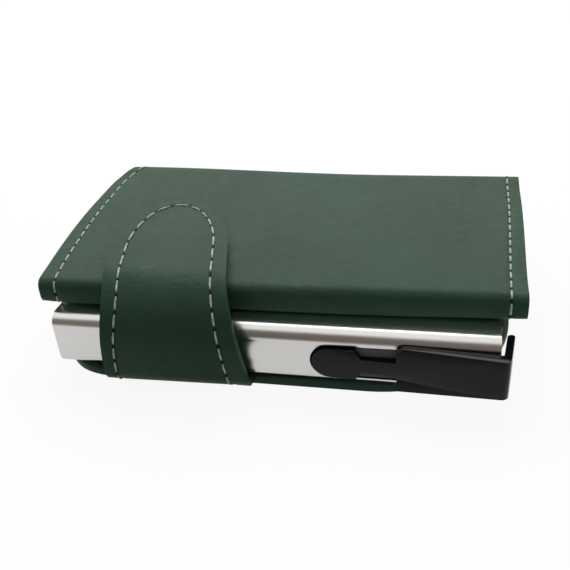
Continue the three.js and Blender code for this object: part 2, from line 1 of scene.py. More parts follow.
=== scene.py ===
# %% [markdown]
# # An aluminium card wallet
# A drawn aluminium case holds the cards, and a trigger at its side pushes them out in steps. A wrap of
# soft leather goes round it: back panel, spine and padded cover, with a strap that closes it. The
# construction comes in as a frame of solids at their real size. This lesson dresses it: the leather is
# cut flat, stitched and bent as it is in a workshop, and the metal and plastic get their fine edges.

# %% Load the frame
import json
import math

import bpy
import numpy as np
from mathutils import Matrix, Vector, noise

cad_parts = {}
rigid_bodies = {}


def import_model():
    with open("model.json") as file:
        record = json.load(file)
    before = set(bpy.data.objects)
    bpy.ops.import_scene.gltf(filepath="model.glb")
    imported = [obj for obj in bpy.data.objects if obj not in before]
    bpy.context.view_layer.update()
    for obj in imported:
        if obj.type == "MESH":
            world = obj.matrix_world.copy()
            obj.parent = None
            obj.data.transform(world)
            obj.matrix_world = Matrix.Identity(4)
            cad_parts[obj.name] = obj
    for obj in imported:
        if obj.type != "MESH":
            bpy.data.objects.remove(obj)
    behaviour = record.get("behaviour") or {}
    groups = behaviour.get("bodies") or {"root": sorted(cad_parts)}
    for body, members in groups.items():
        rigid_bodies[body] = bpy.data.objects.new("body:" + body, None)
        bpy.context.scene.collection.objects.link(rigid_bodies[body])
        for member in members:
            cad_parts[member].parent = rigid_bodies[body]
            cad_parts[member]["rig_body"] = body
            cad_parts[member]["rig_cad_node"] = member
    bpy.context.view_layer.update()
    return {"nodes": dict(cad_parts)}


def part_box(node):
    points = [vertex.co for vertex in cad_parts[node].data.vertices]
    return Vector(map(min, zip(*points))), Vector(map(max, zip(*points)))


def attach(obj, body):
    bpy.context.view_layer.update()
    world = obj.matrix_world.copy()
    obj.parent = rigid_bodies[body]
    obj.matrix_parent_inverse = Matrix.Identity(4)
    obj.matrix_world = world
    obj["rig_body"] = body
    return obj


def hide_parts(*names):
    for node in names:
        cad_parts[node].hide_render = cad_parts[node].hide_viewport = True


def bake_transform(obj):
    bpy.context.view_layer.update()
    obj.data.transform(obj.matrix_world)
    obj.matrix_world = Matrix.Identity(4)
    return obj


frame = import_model()

# %% [markdown]
# Every size below is a real one. Blender works in metres here, so a size in millimetres is multiplied by
# MM. Most places are read from the frame, so that each piece lies where its solid lies.

# %% Units and places
MM = 0.001


def low(node):
    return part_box(node)[0]


def high(node):
    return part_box(node)[1]


LEATHER = 0.9 * MM
GLUE_LINE = 0.05 * MM
LINING = 0.4 * MM
SPINE_RADIUS = 3.5 * MM
WRAP_HALF = high("cover_leather").x
WRAP_FRONT = low("back_leather").y
SPINE_OUTER = high("back_leather").y
COVER_TOP = high("cover_leather").z
COVER_BOTTOM = low("cover_leather").z
COVER_FRONT = low("cover_leather").y
FOLD_RADIUS = (COVER_TOP - COVER_BOTTOM) / 2
COVER_MIDDLE = (COVER_TOP + COVER_BOTTOM) / 2
POCKET_DEPTH = 40 * MM
print("wrap, mm:", round(2 * WRAP_HALF / MM, 1), "wide,", round(COVER_TOP / MM, 1), "high")

# %% [markdown]
# Operators act on whatever is selected, and the frame's own pieces come in selected. So each step starts
# by choosing its one piece. The other helpers select faces or edges by a test, run a modifier and apply
# it, put a finished piece's place into its mesh, and give a soft ramp from 0 to 1 between two places.

# %% Helpers for working as by hand
def deselect_all():
    bpy.ops.object.select_all(action="DESELECT")


def work_on(piece):
    if bpy.context.mode != "OBJECT":
        bpy.ops.object.mode_set(mode="OBJECT")
    deselect_all()
    piece.select_set(True)
    bpy.context.view_layer.objects.active = piece


def take_new(name):
    piece = bpy.context.active_object
    piece.name = name
    piece.data.name = name
    return piece


def edit_all(piece):
    work_on(piece)
    bpy.ops.object.mode_set(mode="EDIT")
    bpy.ops.mesh.select_all(action="SELECT")


def edit_where(piece, test, kind="FACE"):
    edit_all(piece)
    bpy.ops.mesh.select_mode(type=kind)
    bpy.ops.mesh.select_all(action="DESELECT")
    done_editing()
    mesh = piece.data
    for item in {"FACE": mesh.polygons, "EDGE": mesh.edges, "VERT": mesh.vertices}[kind]:
        item.select = test(item)
    bpy.ops.object.mode_set(mode="EDIT")


def done_editing():
    bpy.ops.object.mode_set(mode="OBJECT")


def apply_modifier(piece, kind, **settings):
    work_on(piece)
    modifier = piece.modifiers.new(kind.lower(), kind)
    for key, value in settings.items():
        setattr(modifier, key, value)
    bpy.ops.object.modifier_apply(modifier=modifier.name)


def settle(piece):
    work_on(piece)
    bpy.ops.object.transform_apply(location=True, rotation=True, scale=True)


def smooth(piece, angle=40):
    work_on(piece)
    bpy.ops.object.shade_smooth_by_angle(angle=math.radians(angle))


def ramp(value, start, end):
    share = min(max((value - start) / (end - start), 0), 1)
    return share * share * (3 - 2 * share)


def move_points(piece, *shifts):
    for shift in shifts:
        for vertex in piece.data.vertices:
            vertex.co += shift(vertex.co)
    piece.data.update()


# %% [markdown]
# ## Courses
# Leather that is bent keeps its length, so it is easiest to cut and stitch it flat and to bend it last. A
# course is the line that the outside of the leather follows in section, made of straight runs and bends.
# Blender's Curve modifier then wraps a flat piece round it: what is Y on the flat piece becomes the way
# along the course.

# %% Course of a bent sheet
BEND_STEPS_PER_QUARTER = 16
RUN_STEP = 2 * MM


def make_course(name, start, heading, steps):
    y, z = start
    points = [(y, z)]
    length = 0
    for run, quarters in steps:
        if quarters == 0:
            count = max(1, round(run / RUN_STEP))
            for _ in range(count):
                y += run / count * math.cos(heading)
                z += run / count * math.sin(heading)
                points.append((y, z))
            length += run
            continue
        side = math.copysign(1, quarters)
        count = math.ceil(BEND_STEPS_PER_QUARTER * abs(quarters))
        for _ in range(count):
            centre_y = y - side * run * math.sin(heading)
            centre_z = z + side * run * math.cos(heading)
            heading += quarters * math.pi / 2 / count
            y = centre_y + side * run * math.sin(heading)
            z = centre_z - side * run * math.cos(heading)
            points.append((y, z))
        length += run * abs(quarters) * math.pi / 2
    curve = bpy.data.curves.new(name, "CURVE")
    curve.dimensions = "3D"
    curve.twist_mode = "MINIMUM"
    spline = curve.splines.new("POLY")
    spline.points.add(len(points) - 1)
    for point, (y, z) in zip(spline.points, points):
        point.co = (0, y, z, 1)
    line = bpy.data.objects.new(name, curve)
    bpy.context.collection.objects.link(line)
    print(name, "is", round(length / MM, 1), "mm long")
    return line


def bend_along(piece, line, skin_up):
    piece.rotation_euler.y = math.radians(-90 if skin_up else 90)
    settle(piece)
    apply_modifier(piece, "CURVE", object=line, deform_axis="POS_Y")
    edit_all(piece)
    bpy.ops.mesh.normals_make_consistent(inside=False)
    done_editing()


wrap_runs = [
    (SPINE_OUTER - SPINE_RADIUS - WRAP_FRONT, 0),
    (SPINE_RADIUS, 1),
    (COVER_TOP - 2 * SPINE_RADIUS, 0),
    (SPINE_RADIUS, 1),
    (SPINE_OUTER - SPINE_RADIUS - COVER_FRONT - FOLD_RADIUS, 0),
    (FOLD_RADIUS, 2),
    (POCKET_DEPTH, 0),
]
wrap_course = make_course("wrap_course", (WRAP_FRONT, 0), 0, wrap_runs)


def run_to(runs, count):
    return sum(r * (abs(q) * math.pi / 2 if q else 1) for r, q in runs[:count])


BACK_END = run_to(wrap_runs, 1)
SPINE_START = run_to(wrap_runs, 2)
SPINE_END = run_to(wrap_runs, 3)
COVER_START = run_to(wrap_runs, 4)
FOLD_START = run_to(wrap_runs, 5)
FOLD_END = run_to(wrap_runs, 6)
WRAP_END = run_to(wrap_runs, 7)
MID_SPINE = (SPINE_START + SPINE_END) / 2

# %% [markdown]
# ## Cutting leather
# A blank is cut like a die cuts it: a filled circle gets one vertex for each point of the pattern, and
# the vertices are moved onto it. Straight cuts across it, made by bisecting, let it bend later.

# %% Cut a blank and score it
def cut_blank(name, pattern):
    deselect_all()
    bpy.ops.mesh.primitive_circle_add(vertices=len(pattern), fill_type="NGON")
    blank = take_new(name)
    for vertex, (x, s) in zip(blank.data.vertices, pattern):
        vertex.co = (x, s, 0)
    if blank.data.polygons[0].normal.z < 0:
        blank.data.flip_normals()
    return blank


def score(blank, places, axis="Y"):
    normal = (1, 0, 0) if axis == "X" else (0, 1, 0)
    edit_all(blank)
    for place in places:
        bpy.ops.mesh.select_all(action="SELECT")
        bpy.ops.mesh.bisect(plane_co=Vector(normal) * place, plane_no=normal)
    done_editing()


def keep_between(piece, start, end):
    edit_all(piece)
    for place, normal in ((start, (0, -1, 0)), (end, (0, 1, 0))):
        bpy.ops.mesh.select_all(action="SELECT")
        bpy.ops.mesh.bisect(
            plane_co=(0, place, 0), plane_no=normal, use_fill=True, clear_outer=True
        )
    done_editing()


def places_between(start, end, step):
    count = max(1, round((end - start) / step))
    return [start + (end - start) * i / count for i in range(count + 1)]


def arc(centre, radius, start, end, count):
    turns = [math.radians(start + (end - start) * i / count) for i in range(count + 1)]
    return [(centre[0] + radius * math.cos(a), centre[1] + radius * math.sin(a)) for a in turns]


def copy_of(piece, name):
    twin = piece.copy()
    twin.data = piece.data.copy()
    twin.name = name
    twin.data.name = name
    bpy.context.collection.objects.link(twin)
    return twin


# %% [markdown]
# ## Colours and finishes
# Colours are written as they are read off a screen, in sRGB, and Blender's shaders want linear light, so
# one function turns them. Another adds a node: its inputs take values or the outputs of other nodes.

# %% Helpers for materials
def linear(hex_colour):
    parts = [int(hex_colour[i:i + 2], 16) / 255 for i in (1, 3, 5)]
    return [c / 12.92 if c <= 0.04045 else ((c + 0.055) / 1.055) ** 2.4 for c in parts] + [1]


def new_material(name):
    material = bpy.data.materials.new(name)
    material.use_nodes = True
    return material, material.node_tree, material.node_tree.nodes["Principled BSDF"]


def feed(node, inputs):
    for socket, value in inputs.items():
        if isinstance(value, bpy.types.NodeSocket):
            node.id_data.links.new(value, node.inputs[socket])
        else:
            node.inputs[socket].default_value = value


def add_node(tree, kind, inputs=None, **settings):
    node = tree.nodes.new("ShaderNode" + kind)
    for key, value in settings.items():
        setattr(node, key, value)
    feed(node, inputs or {})
    return node


def colour_ramp(tree, factor, stops):
    ramp_node = add_node(tree, "ValToRGB", {"Fac": factor})
    elements = ramp_node.color_ramp.elements
    for element, (place, _) in zip(elements, (stops[0], stops[-1])):
        element.position = place
    for place, _ in stops[1:-1]:
        elements.new(place)
    for element, (place, colour) in zip(elements, stops):
        element.position = place
        element.color = linear(colour)
    return ramp_node.outputs["Color"]


def dress(piece, material):
    piece.data.materials.clear()
    piece.data.materials.append(material)


# %% [markdown]
# The leather is a coated split hide: a green polyurethane skin, embossed with a fine grain and left half
# matt. The grain's pebbles are about 0.6 mm across, and a slow change of tone over a few centimetres
# keeps the skin from looking painted. Both are patterns in space, so that they run on over the seams.

# %% Coated green leather
GRAIN = 0.6 * MM
TONE = 30 * MM


def coated_leather(name, dark, middle, light, roughness):
    material, tree, shader = new_material(name)
    place = add_node(tree, "TexCoord").outputs["Object"]
    tone = add_node(tree, "TexNoise", {"Vector": place, "Scale": 1 / TONE, "Detail": 3})
    pebbles = add_node(tree, "TexVoronoi", {"Vector": place, "Scale": 1 / GRAIN})
    pores = add_node(tree, "TexNoise", {"Vector": place, "Scale": 3 / GRAIN, "Detail": 2})
    creases = add_node(
        tree, "TexNoise", {"Vector": place, "Scale": 0.25 / GRAIN, "Detail": 6, "Distortion": 1.2}
    )
    colour = colour_ramp(tree, tone.outputs["Fac"], [(0.3, dark), (0.5, middle), (0.72, light)])
    relief = add_node(
        tree, "Math", {0: pebbles.outputs["Distance"], 1: pores.outputs["Fac"]}, operation="ADD"
    )
    grain = add_node(
        tree, "Bump", {"Height": relief.outputs[0], "Strength": 0.16, "Distance": 0.08 * MM}
    )
    surface = add_node(tree, "Bump", {
        "Height": creases.outputs["Fac"], "Normal": grain.outputs["Normal"],
        "Strength": 0.55, "Distance": 0.3 * MM,
    })
    gloss = add_node(tree, "MapRange", {
        "Value": creases.outputs["Fac"], "To Min": roughness - 0.14, "To Max": roughness + 0.1,
    })
    feed(shader, {
        "Base Color": colour, "Roughness": gloss.outputs["Result"],
        "Normal": surface.outputs["Normal"], "Specular IOR Level": 0.12,
    })
    return material


green_leather = coated_leather("coated_green_leather", "#37543F", "#3C5A46", "#41624D", 0.5)
print("leather grain:", GRAIN / MM, "mm")

# %% [markdown]
# The lining is a thin black cloth in plain weave, with a thread every 0.35 mm, which gives a dull, dark
# inside. A wave texture at scale 1 has a band every 0.31 units, so a repeat of two threads takes a scale
# of about one sixth of a thread. The sewing thread is a pale mint polyester of three plies, with a soft
# shine.

# %% Woven lining and sewing thread
WEAVE = 0.35 * MM
WAVE_SCALE_SHARE = 1 / 6
TWIST = 4 * MM


def woven_lining():
    material, tree, shader = new_material("woven_black_lining")
    place = add_node(tree, "TexCoord").outputs["Object"]
    warp, weft = (
        add_node(
            tree, "TexWave",
            {"Vector": place, "Scale": WAVE_SCALE_SHARE / WEAVE, "Distortion": 0.3},
            bands_direction=direction,
        )
        for direction in ("X", "Y")
    )
    weave = add_node(
        tree, "Math", {0: warp.outputs["Fac"], 1: weft.outputs["Fac"]}, operation="MULTIPLY"
    ).outputs[0]
    colour = colour_ramp(tree, weave, [(0, "#0E100F"), (0.5, "#191C1B"), (1, "#262A28")])
    bump = add_node(tree, "Bump", {"Height": weave, "Strength": 0.4, "Distance": 0.1 * MM})
    feed(shader, {"Base Color": colour, "Normal": bump.outputs["Normal"], "Roughness": 0.85})
    return material


def sewing_thread():
    material, tree, shader = new_material("three_ply_polyester_thread")
    place = add_node(tree, "TexCoord").outputs["Object"]
    twist = add_node(
        tree, "TexWave", {"Vector": place, "Scale": 1 / TWIST, "Distortion": 0.6},
        bands_direction="DIAGONAL",
    ).outputs["Fac"]
    colour = colour_ramp(tree, twist, [(0, "#CADBCB"), (0.6, "#E6F2E6"), (1, "#F4FAF2")])
    bump = add_node(tree, "Bump", {"Height": twist, "Strength": 0.5, "Distance": 0.1 * MM})
    feed(shader, {"Base Color": colour, "Normal": bump.outputs["Normal"], "Roughness": 0.6})
    return material


black_lining = woven_lining()
mint_thread = sewing_thread()

# %% [markdown]
# The case is drawn through a die and then blasted and anodised clear. Drawing leaves hairlines that run
# along the case, and they spread the highlights across it. Along X the pattern is stretched forty times.

# %% Drawn and anodised aluminium
HAIRLINE = 0.25 * MM
HAIRLINE_STRETCH_SHARE = 1 / 40
BLAST_GRIT = 0.4 * MM


def drawn_aluminium():
    material, tree, shader = new_material("drawn_anodised_aluminium")
    place = add_node(tree, "TexCoord").outputs["Object"]
    along = add_node(tree, "Mapping", {"Vector": place, "Scale": (HAIRLINE_STRETCH_SHARE, 1, 1)})
    lines = add_node(
        tree, "TexNoise", {"Vector": along.outputs["Vector"], "Scale": 1 / HAIRLINE, "Detail": 3}
    )
    grit = add_node(tree, "TexNoise", {"Vector": place, "Scale": 1 / BLAST_GRIT, "Detail": 2})
    gloss = add_node(tree, "MapRange", {"Value": grit.outputs["Fac"], "To Min": 0.2, "To Max": 0.29})
    drawn = add_node(
        tree, "Bump", {"Height": lines.outputs["Fac"], "Strength": 0.08, "Distance": 0.02 * MM}
    )
    blasted = add_node(tree, "Bump", {
        "Height": grit.outputs["Fac"], "Normal": drawn.outputs["Normal"],
        "Strength": 0.2, "Distance": 0.02 * MM,
    })
    feed(shader, {
        "Base Color": linear("#E0DFDC"), "Metallic": 1,
        "Roughness": gloss.outputs["Result"], "Normal": blasted.outputs["Normal"],
    })
    return material


aluminium = drawn_aluminium()

# %% [markdown]
# The trigger and the insert are moulded black plastic. The trigger is polished by the mould, so it takes
# sharp highlights along its edges. The insert has the fine matt skin of a spark-eroded mould.

# %% Moulded plastic, steel, felt, board, foam and tape
FLOW = 12 * MM
RING = 1.5 * MM


def moulded_plastic(name, colour, roughness, grit_size, strength):
    material, tree, shader = new_material(name)
    place = add_node(tree, "TexCoord").outputs["Object"]
    grit = add_node(tree, "TexNoise", {"Vector": place, "Scale": 1 / grit_size, "Detail": 2})
    flow = add_node(tree, "TexNoise", {"Vector": place, "Scale": 1 / FLOW, "Detail": 1})
    gloss = add_node(tree, "MapRange", {
        "Value": flow.outputs["Fac"], "To Min": roughness - 0.04, "To Max": roughness + 0.04,
    })
    bump = add_node(
        tree, "Bump", {"Height": grit.outputs["Fac"], "Strength": strength, "Distance": 0.03 * MM}
    )
    feed(shader, {
        "Base Color": linear(colour), "Specular IOR Level": 0.22,
        "Roughness": gloss.outputs["Result"], "Normal": bump.outputs["Normal"],
    })
    return material


def fibrous(name, dark, light, fibre, roughness, depth):
    material, tree, shader = new_material(name)
    place = add_node(tree, "TexCoord").outputs["Object"]
    fibres = add_node(
        tree, "TexNoise", {"Vector": place, "Scale": 1 / fibre, "Detail": 5, "Distortion": 1.5}
    ).outputs["Fac"]
    colour = colour_ramp(tree, fibres, [(0.35, dark), (0.65, light)])
    bump = add_node(tree, "Bump", {"Height": fibres, "Strength": 0.5, "Distance": depth})
    feed(shader, {"Base Color": colour, "Normal": bump.outputs["Normal"], "Roughness": roughness})
    return material


def ground_steel():
    material, tree, shader = new_material("ground_steel")
    place = add_node(tree, "TexCoord").outputs["Object"]
    rings = add_node(
        tree, "TexWave", {"Vector": place, "Scale": 1 / RING, "Distortion": 0.4}, bands_direction="Z"
    )
    gloss = add_node(tree, "MapRange", {"Value": rings.outputs["Fac"], "To Min": 0.2, "To Max": 0.34})
    feed(shader, {
        "Base Color": linear("#BFC0C2"), "Metallic": 1, "Roughness": gloss.outputs["Result"],
    })
    return material


gloss_plastic = moulded_plastic("polished_black_plastic", "#151719", 0.16, 0.5 * MM, 0.03)
matt_plastic = moulded_plastic("eroded_black_plastic", "#1B1C1D", 0.5, 0.15 * MM, 0.25)
# Painted light: this grey stands in for the dimly lit inside of the tube, seen through the slot beside the
# neck.
painted_interior_light = moulded_plastic("grey_plastic_painted_interior_light", "#747472", 0.5, 0.15 * MM, 0.2)
steel = ground_steel()
felt = fibrous("pressed_black_felt", "#141617", "#2A2D2F", 0.5 * MM, 0.95, 0.3 * MM)
board = fibrous("grey_pulp_board", "#7D786B", "#979181", 0.8 * MM, 0.9, 0.05 * MM)
foam = fibrous("closed_cell_foam", "#C9C6BC", "#E0DDD4", 0.5 * MM, 0.95, 0.15 * MM)
tape = fibrous("glued_tissue_tape", "#BDBDB4", "#D3D3CB", 1.5 * MM, 0.5, 0.02 * MM)
# Painted shade: a near-black colour for the needle-hole discs, standing in for the shade inside each hole.
painted_hole_shade = fibrous("painted_needle_hole_shade", "#060A08", "#101913", 0.2 * MM, 0.9, 0.02 * MM)
magnet_sheet = fibrous("magnetic_rubber_sheet", "#2F2B29", "#3D3835", 0.4 * MM, 0.8, 0.03 * MM)

# %% [markdown]
# ## The wrap
# One piece of leather forms the back panel, the spine and the cover. It goes on round the open edge and
# back inside as a pocket. The pattern has two well rounded free corners at the back panel, and by the
# trigger the panel is a little narrower.

# %% Pattern of the wrap
MOUTH_CORNER = 20 * MM
BASE_CORNER = 30 * MM
BASE_TAPER = 2.5 * MM
POCKET_CORNER = 2 * MM
CORNER_STEPS = 18


def panel_corners(inset):
    half = WRAP_HALF - inset
    base = half - BASE_TAPER
    mouth_radius = MOUTH_CORNER - inset
    base_radius = BASE_CORNER - inset
    mouth = arc((mouth_radius - half, inset + mouth_radius), mouth_radius, 180, 270, CORNER_STEPS)
    return mouth, arc((base - base_radius, inset + base_radius), base_radius, 270, 360, CORNER_STEPS)


def wrap_pattern(inset, end):
    half = WRAP_HALF - inset
    stop = end - inset
    mouth, base = panel_corners(inset)
    pattern = mouth + base + [(half, BACK_END), (half, MID_SPINE)]
    pattern += arc((half - POCKET_CORNER, stop - POCKET_CORNER), POCKET_CORNER, 0, 90, 4)
    pattern += arc((POCKET_CORNER - half, stop - POCKET_CORNER), POCKET_CORNER, 90, 180, 4)
    return pattern + [(-half, MID_SPINE)]


bend_places = (
    places_between(2 * MM, BACK_END, 6 * MM)
    + places_between(BACK_END, SPINE_START, 0.6 * MM)
    + places_between(SPINE_START, SPINE_END, 1 * MM)
    + places_between(SPINE_END, COVER_START, 0.6 * MM)
)
cover_places = (
    places_between(COVER_START, FOLD_START, 1.8 * MM)
    + places_between(FOLD_START, FOLD_END, 0.55 * MM)
    + places_between(FOLD_END, WRAP_END - POCKET_CORNER, 2.5 * MM)
)

# %% [markdown]
# The blank is scored, given its thickness with Solidify and soft cut edges with Bevel, all while it is
# flat. The back panel has the raised rim of a turned edge. The whole top beside the strap's tongue is
# raised for it, to 8 mm before the spine's bend, and the lining hides all but the rim. Two joints cross the
# wrap, so it is parted in the middle of the spine, where both halves follow the spine.

# %% Leather of the back panel and of the cover
EDGE_ROUND = 0.22 * MM
RIM_WIDTH = 1.4 * MM
RAISED_BY = 0.85 * MM
RAISED_END = BACK_END - 8 * MM
TONGUE_PLAY = 0.3 * MM
ROOT_LEFT = low("strap_root").x
TONGUE = (ROOT_LEFT - TONGUE_PLAY, high("strap_root").x + TONGUE_PLAY)
TONGUE_END = high("strap_root").y - WRAP_FRONT + TONGUE_PLAY
END_CUTS = [side * (WRAP_HALF - cut * MM) for side in (-1, 1) for cut in (2.6, 3, 3.4, 3.8, 4.2, 4.6)]


def bevel_edges(piece, width, segments=2, angle=30):
    apply_modifier(
        piece, "BEVEL", width=width, segments=segments,
        limit_method="ANGLE", angle_limit=math.radians(angle),
    )


wrap_back = cut_blank("wrap_back", wrap_pattern(0, WRAP_END))
wrap_cover = copy_of(wrap_back, "wrap_cover")
edit_all(wrap_back)
bpy.ops.mesh.inset(thickness=RIM_WIDTH, depth=0)
done_editing()
score(wrap_back, TONGUE, "X")
for piece in (wrap_back, wrap_cover):
    score(piece, bend_places + cover_places)
    score(piece, places_between(-WRAP_HALF + 1.5 * MM, WRAP_HALF - 1.5 * MM, 2 * MM), "X")
    score(piece, END_CUTS, "X")
    apply_modifier(piece, "SOLIDIFY", thickness=LEATHER, offset=1)
edit_where(
    wrap_back,
    lambda face: face.normal.z > 0.9
    and face.center.y < RAISED_END and not TONGUE[0] < face.center.x < TONGUE[1],
)
bpy.ops.mesh.extrude_region_move(TRANSFORM_OT_translate={"value": (0, 0, RAISED_BY)})
done_editing()
for piece, start, end in (
    (wrap_back, -1 * MM, MID_SPINE),
    (wrap_cover, MID_SPINE, WRAP_END + 1 * MM),
):
    bevel_edges(piece, EDGE_ROUND, angle=50)
    keep_between(piece, start, end)
    bend_along(piece, wrap_course, skin_up=False)
print("wrap faces:", len(wrap_back.data.polygons), len(wrap_cover.data.polygons))

# %% [markdown]
# A soft cover isn't a slab. The seam along each short end draws its layers together and drifts inwards to
# the front, the skin dips along the stitches, the open edge runs slightly askew and sags between its
# ends, and the whole top waves by a tenth of a millimetre or two. At the mouth the cover is drawn in at
# the front, spread behind it and rounded at the spine. Each layer moves by the same rule, so they stay in
# order.

# %% How the cover's layers settle
SEAM_INSET = 2.9 * MM
SEAM_DIP = 0.25 * MM
SEAM_WIDTH = 0.55 * MM
DRIFT_AT_MOUTH = 1.15 * MM
DRIFT_AT_BASE = 0.5 * MM
PINCH_START = 49.5 * MM
PINCH_SHARE = 0.18
PINCH_AT_FOLD_SHARE = 0.06
PINCH_REACH = 9 * MM
SKEW_AT_MOUTH = 1.4 * MM
SKEW_AT_BASE = 1.2 * MM
SKEW_REACH = 26 * MM
BULGE_AT_MOUTH = 2.8 * MM
RISE_AT_MOUTH = 0.4 * MM
DRAWN_IN_AT_MOUTH = 2.5 * MM
SPREAD_AT_MOUTH = 5.15 * MM
SPREAD_REACH = 48 * MM
BACK_IN_AT_MOUTH = 1.4 * MM
ROUNDED_AT_SPINE = 1.5 * MM
DRAWN_IN_AT_BASE = 1.1 * MM
DRAWN_OUTSIDE_POWER = 1.5
RIM_SET_BACK = 1.5 * MM
RIM_SET_BACK_LESS_AT_MOUTH = 0.8 * MM
FOLD_SAG = 0.55 * MM
SAG_REACH = 14 * MM
SAG_MIDDLE_SHARE = 0.65
SAG_HELD_SHARE = 0.8
FOLD_SQUARED_SHARE = 0.09
WAVE = 0.35 * MM
WAVE_LENGTH = 32 * MM
WAVE_ORIGIN = Vector((3.7, 1.3, 0.2))
TOP_START = SPINE_OUTER - SPINE_RADIUS
TOP_END = COVER_FRONT + FOLD_RADIUS


def seam_drift(x, y):
    forward = max(0, min(1, (TOP_START - y) / (TOP_START - TOP_END)))
    return (DRIFT_AT_MOUTH if x < 0 else DRIFT_AT_BASE) * forward


def cover_settles(place):
    x, y, z = place
    outward = abs(x)
    before_spine = 1 - ramp(y, SPINE_OUTER - 9 * MM, SPINE_OUTER - 4 * MM)
    over_cover = ramp(z, COVER_BOTTOM - 4 * MM, COVER_BOTTOM)
    from_middle = (z - COVER_MIDDLE) / FOLD_RADIUS
    side_of_middle = max(-1, min(1, from_middle))
    pinch = PINCH_AT_FOLD_SHARE
    pinch += (PINCH_SHARE - PINCH_AT_FOLD_SHARE) * ramp(y, COVER_FRONT, COVER_FRONT + PINCH_REACH)
    pinch *= ramp(outward, PINCH_START, WRAP_HALF)
    dz = -pinch * before_spine * over_cover * from_middle * FOLD_RADIUS
    wave = noise.noise(Vector((x, y, 0)) / WAVE_LENGTH + WAVE_ORIGIN)
    dz -= before_spine * over_cover * max(0, from_middle) * WAVE * (0.5 + 0.5 * wave)

    front = 1 - ramp(y, COVER_FRONT, COVER_FRONT + SKEW_REACH)
    skew = SKEW_AT_BASE * ramp(x, 0, WRAP_HALF) - SKEW_AT_MOUTH * ramp(-x, 0, WRAP_HALF)
    rear = ramp(y, SPINE_OUTER - 22 * MM, SPINE_OUTER - 4 * MM) * ramp(z, 4 * MM, 17 * MM)
    rear *= ramp(-x, -20 * MM, 52 * MM)
    dy = skew * front * over_cover + BULGE_AT_MOUTH * rear
    dz += RISE_AT_MOUTH * rear

    way = (y - COVER_FRONT) / SPREAD_REACH
    if x < 0:
        dx = DRAWN_IN_AT_MOUTH - SPREAD_AT_MOUTH * (1 - (1 - way) ** 2)
        dx += BACK_IN_AT_MOUTH * ramp(way, 1.05, 1.35)
        dx += ROUNDED_AT_SPINE * ramp(y, SPINE_OUTER - 10 * MM, SPINE_OUTER - 1 * MM)
    else:
        dx = -DRAWN_IN_AT_BASE * (1 - 0.9 * ramp(way, 0, 1))
    dx *= (outward / WRAP_HALF) ** DRAWN_OUTSIDE_POWER * ramp(z, 3 * MM, 17 * MM)

    seam = (outward - WRAP_HALF + SEAM_INSET + seam_drift(x, y)) / SEAM_WIDTH
    dip = SEAM_DIP * math.exp(-seam * seam) * over_cover
    fold = 1 - ramp(y, COVER_FRONT, TOP_END)
    dz -= dip * (1 - fold) * max(-1, min(1, 2 * from_middle)) * before_spine
    dy += dip * fold
    across = (TOP_END - y) / FOLD_RADIUS
    if across > 0 and from_middle:
        squared = (2 * across * from_middle / (across ** 2 + from_middle ** 2)) ** 2
        squared *= FOLD_SQUARED_SHARE * FOLD_RADIUS * over_cover
        dy -= squared * across
        dz += squared * from_middle

    sag = FOLD_SAG * (1 - ramp(y, COVER_FRONT, COVER_FRONT + SAG_REACH)) * over_cover
    sag *= 1 - SAG_HELD_SHARE * ramp(outward, 28 * MM, 54 * MM)
    dz -= sag * (SAG_MIDDLE_SHARE - (1 - SAG_MIDDLE_SHARE) * side_of_middle)
    return Vector((dx, dy, dz))


def panel_settles(place):
    x, y, z = place
    shift = RIM_SET_BACK * ramp(x, ROOT_LEFT, ROOT_LEFT + 22 * MM)
    shift -= RIM_SET_BACK_LESS_AT_MOUTH * (1 - ramp(x, -46 * MM, -36 * MM))
    rim = 1 - ramp(y, WRAP_FRONT, WRAP_FRONT + 9 * MM)
    return Vector((0, shift * rim * (1 - ramp(z, 2.4 * MM, 3.4 * MM)), 0))


def finish(piece, material, slot, *shifts, angle=40):
    move_points(piece, *shifts)
    smooth(piece, angle)
    dress(piece, material)


for piece in (wrap_back, wrap_cover):
    finish(piece, green_leather, "green_leather", cover_settles, panel_settles)
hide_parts("back_leather")
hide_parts("spine_leather", "cover_leather")

# %% [markdown]
# Inside the cover lie a thin foam pad, a stiff board, the lining and a second, stepped pocket. Each is a
# block at the size of its solid, cut into strips, with its edges rounded, that settles with the cover.

# %% Layers inside the cover
def block(name, lowest, highest):
    deselect_all()
    bpy.ops.mesh.primitive_cube_add(size=1, location=(lowest + highest) / 2)
    piece = take_new(name)
    piece.dimensions = highest - lowest
    settle(piece)
    return piece


def cover_layer(name, node, edge, material, slot):
    lowest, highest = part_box(node)
    layer = block(name, lowest, highest)
    bevel_edges(layer, edge)
    score(layer, places_between(lowest.x + 1 * MM, highest.x - 1 * MM, 3 * MM), "X")
    score(layer, places_between(lowest.y + 1 * MM, highest.y - 1 * MM, 4 * MM))
    finish(layer, material, slot, cover_settles)
    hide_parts(node)
    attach(layer, "cover")
    return layer


padding = cover_layer("cover_padding", "cover_foam", 0.5 * MM, foam, "foam")
cover_layer("cover_stiffener", "cover_board", 0.15 * MM, board, "board")
cover_layer("second_pocket", "pocket_panel", EDGE_ROUND, green_leather, "green_leather")

# %% [markdown]
# The lining is one more sheet, with a course of its own inside the leather. Over the back panel it is
# lifted by the board below it, and it comes down to the leather before the spine's bend.

# %% Lining
LINING_SKIN = LEATHER + GLUE_LINE
LINING_TOP = high("cover_lining").z
LINING_BEND = SPINE_RADIUS - LINING_SKIN
LINING_END = low("cover_lining").y
LIFT = high("back_lining").z - LINING - LINING_SKIN
LINING_INSET = 1.2 * MM

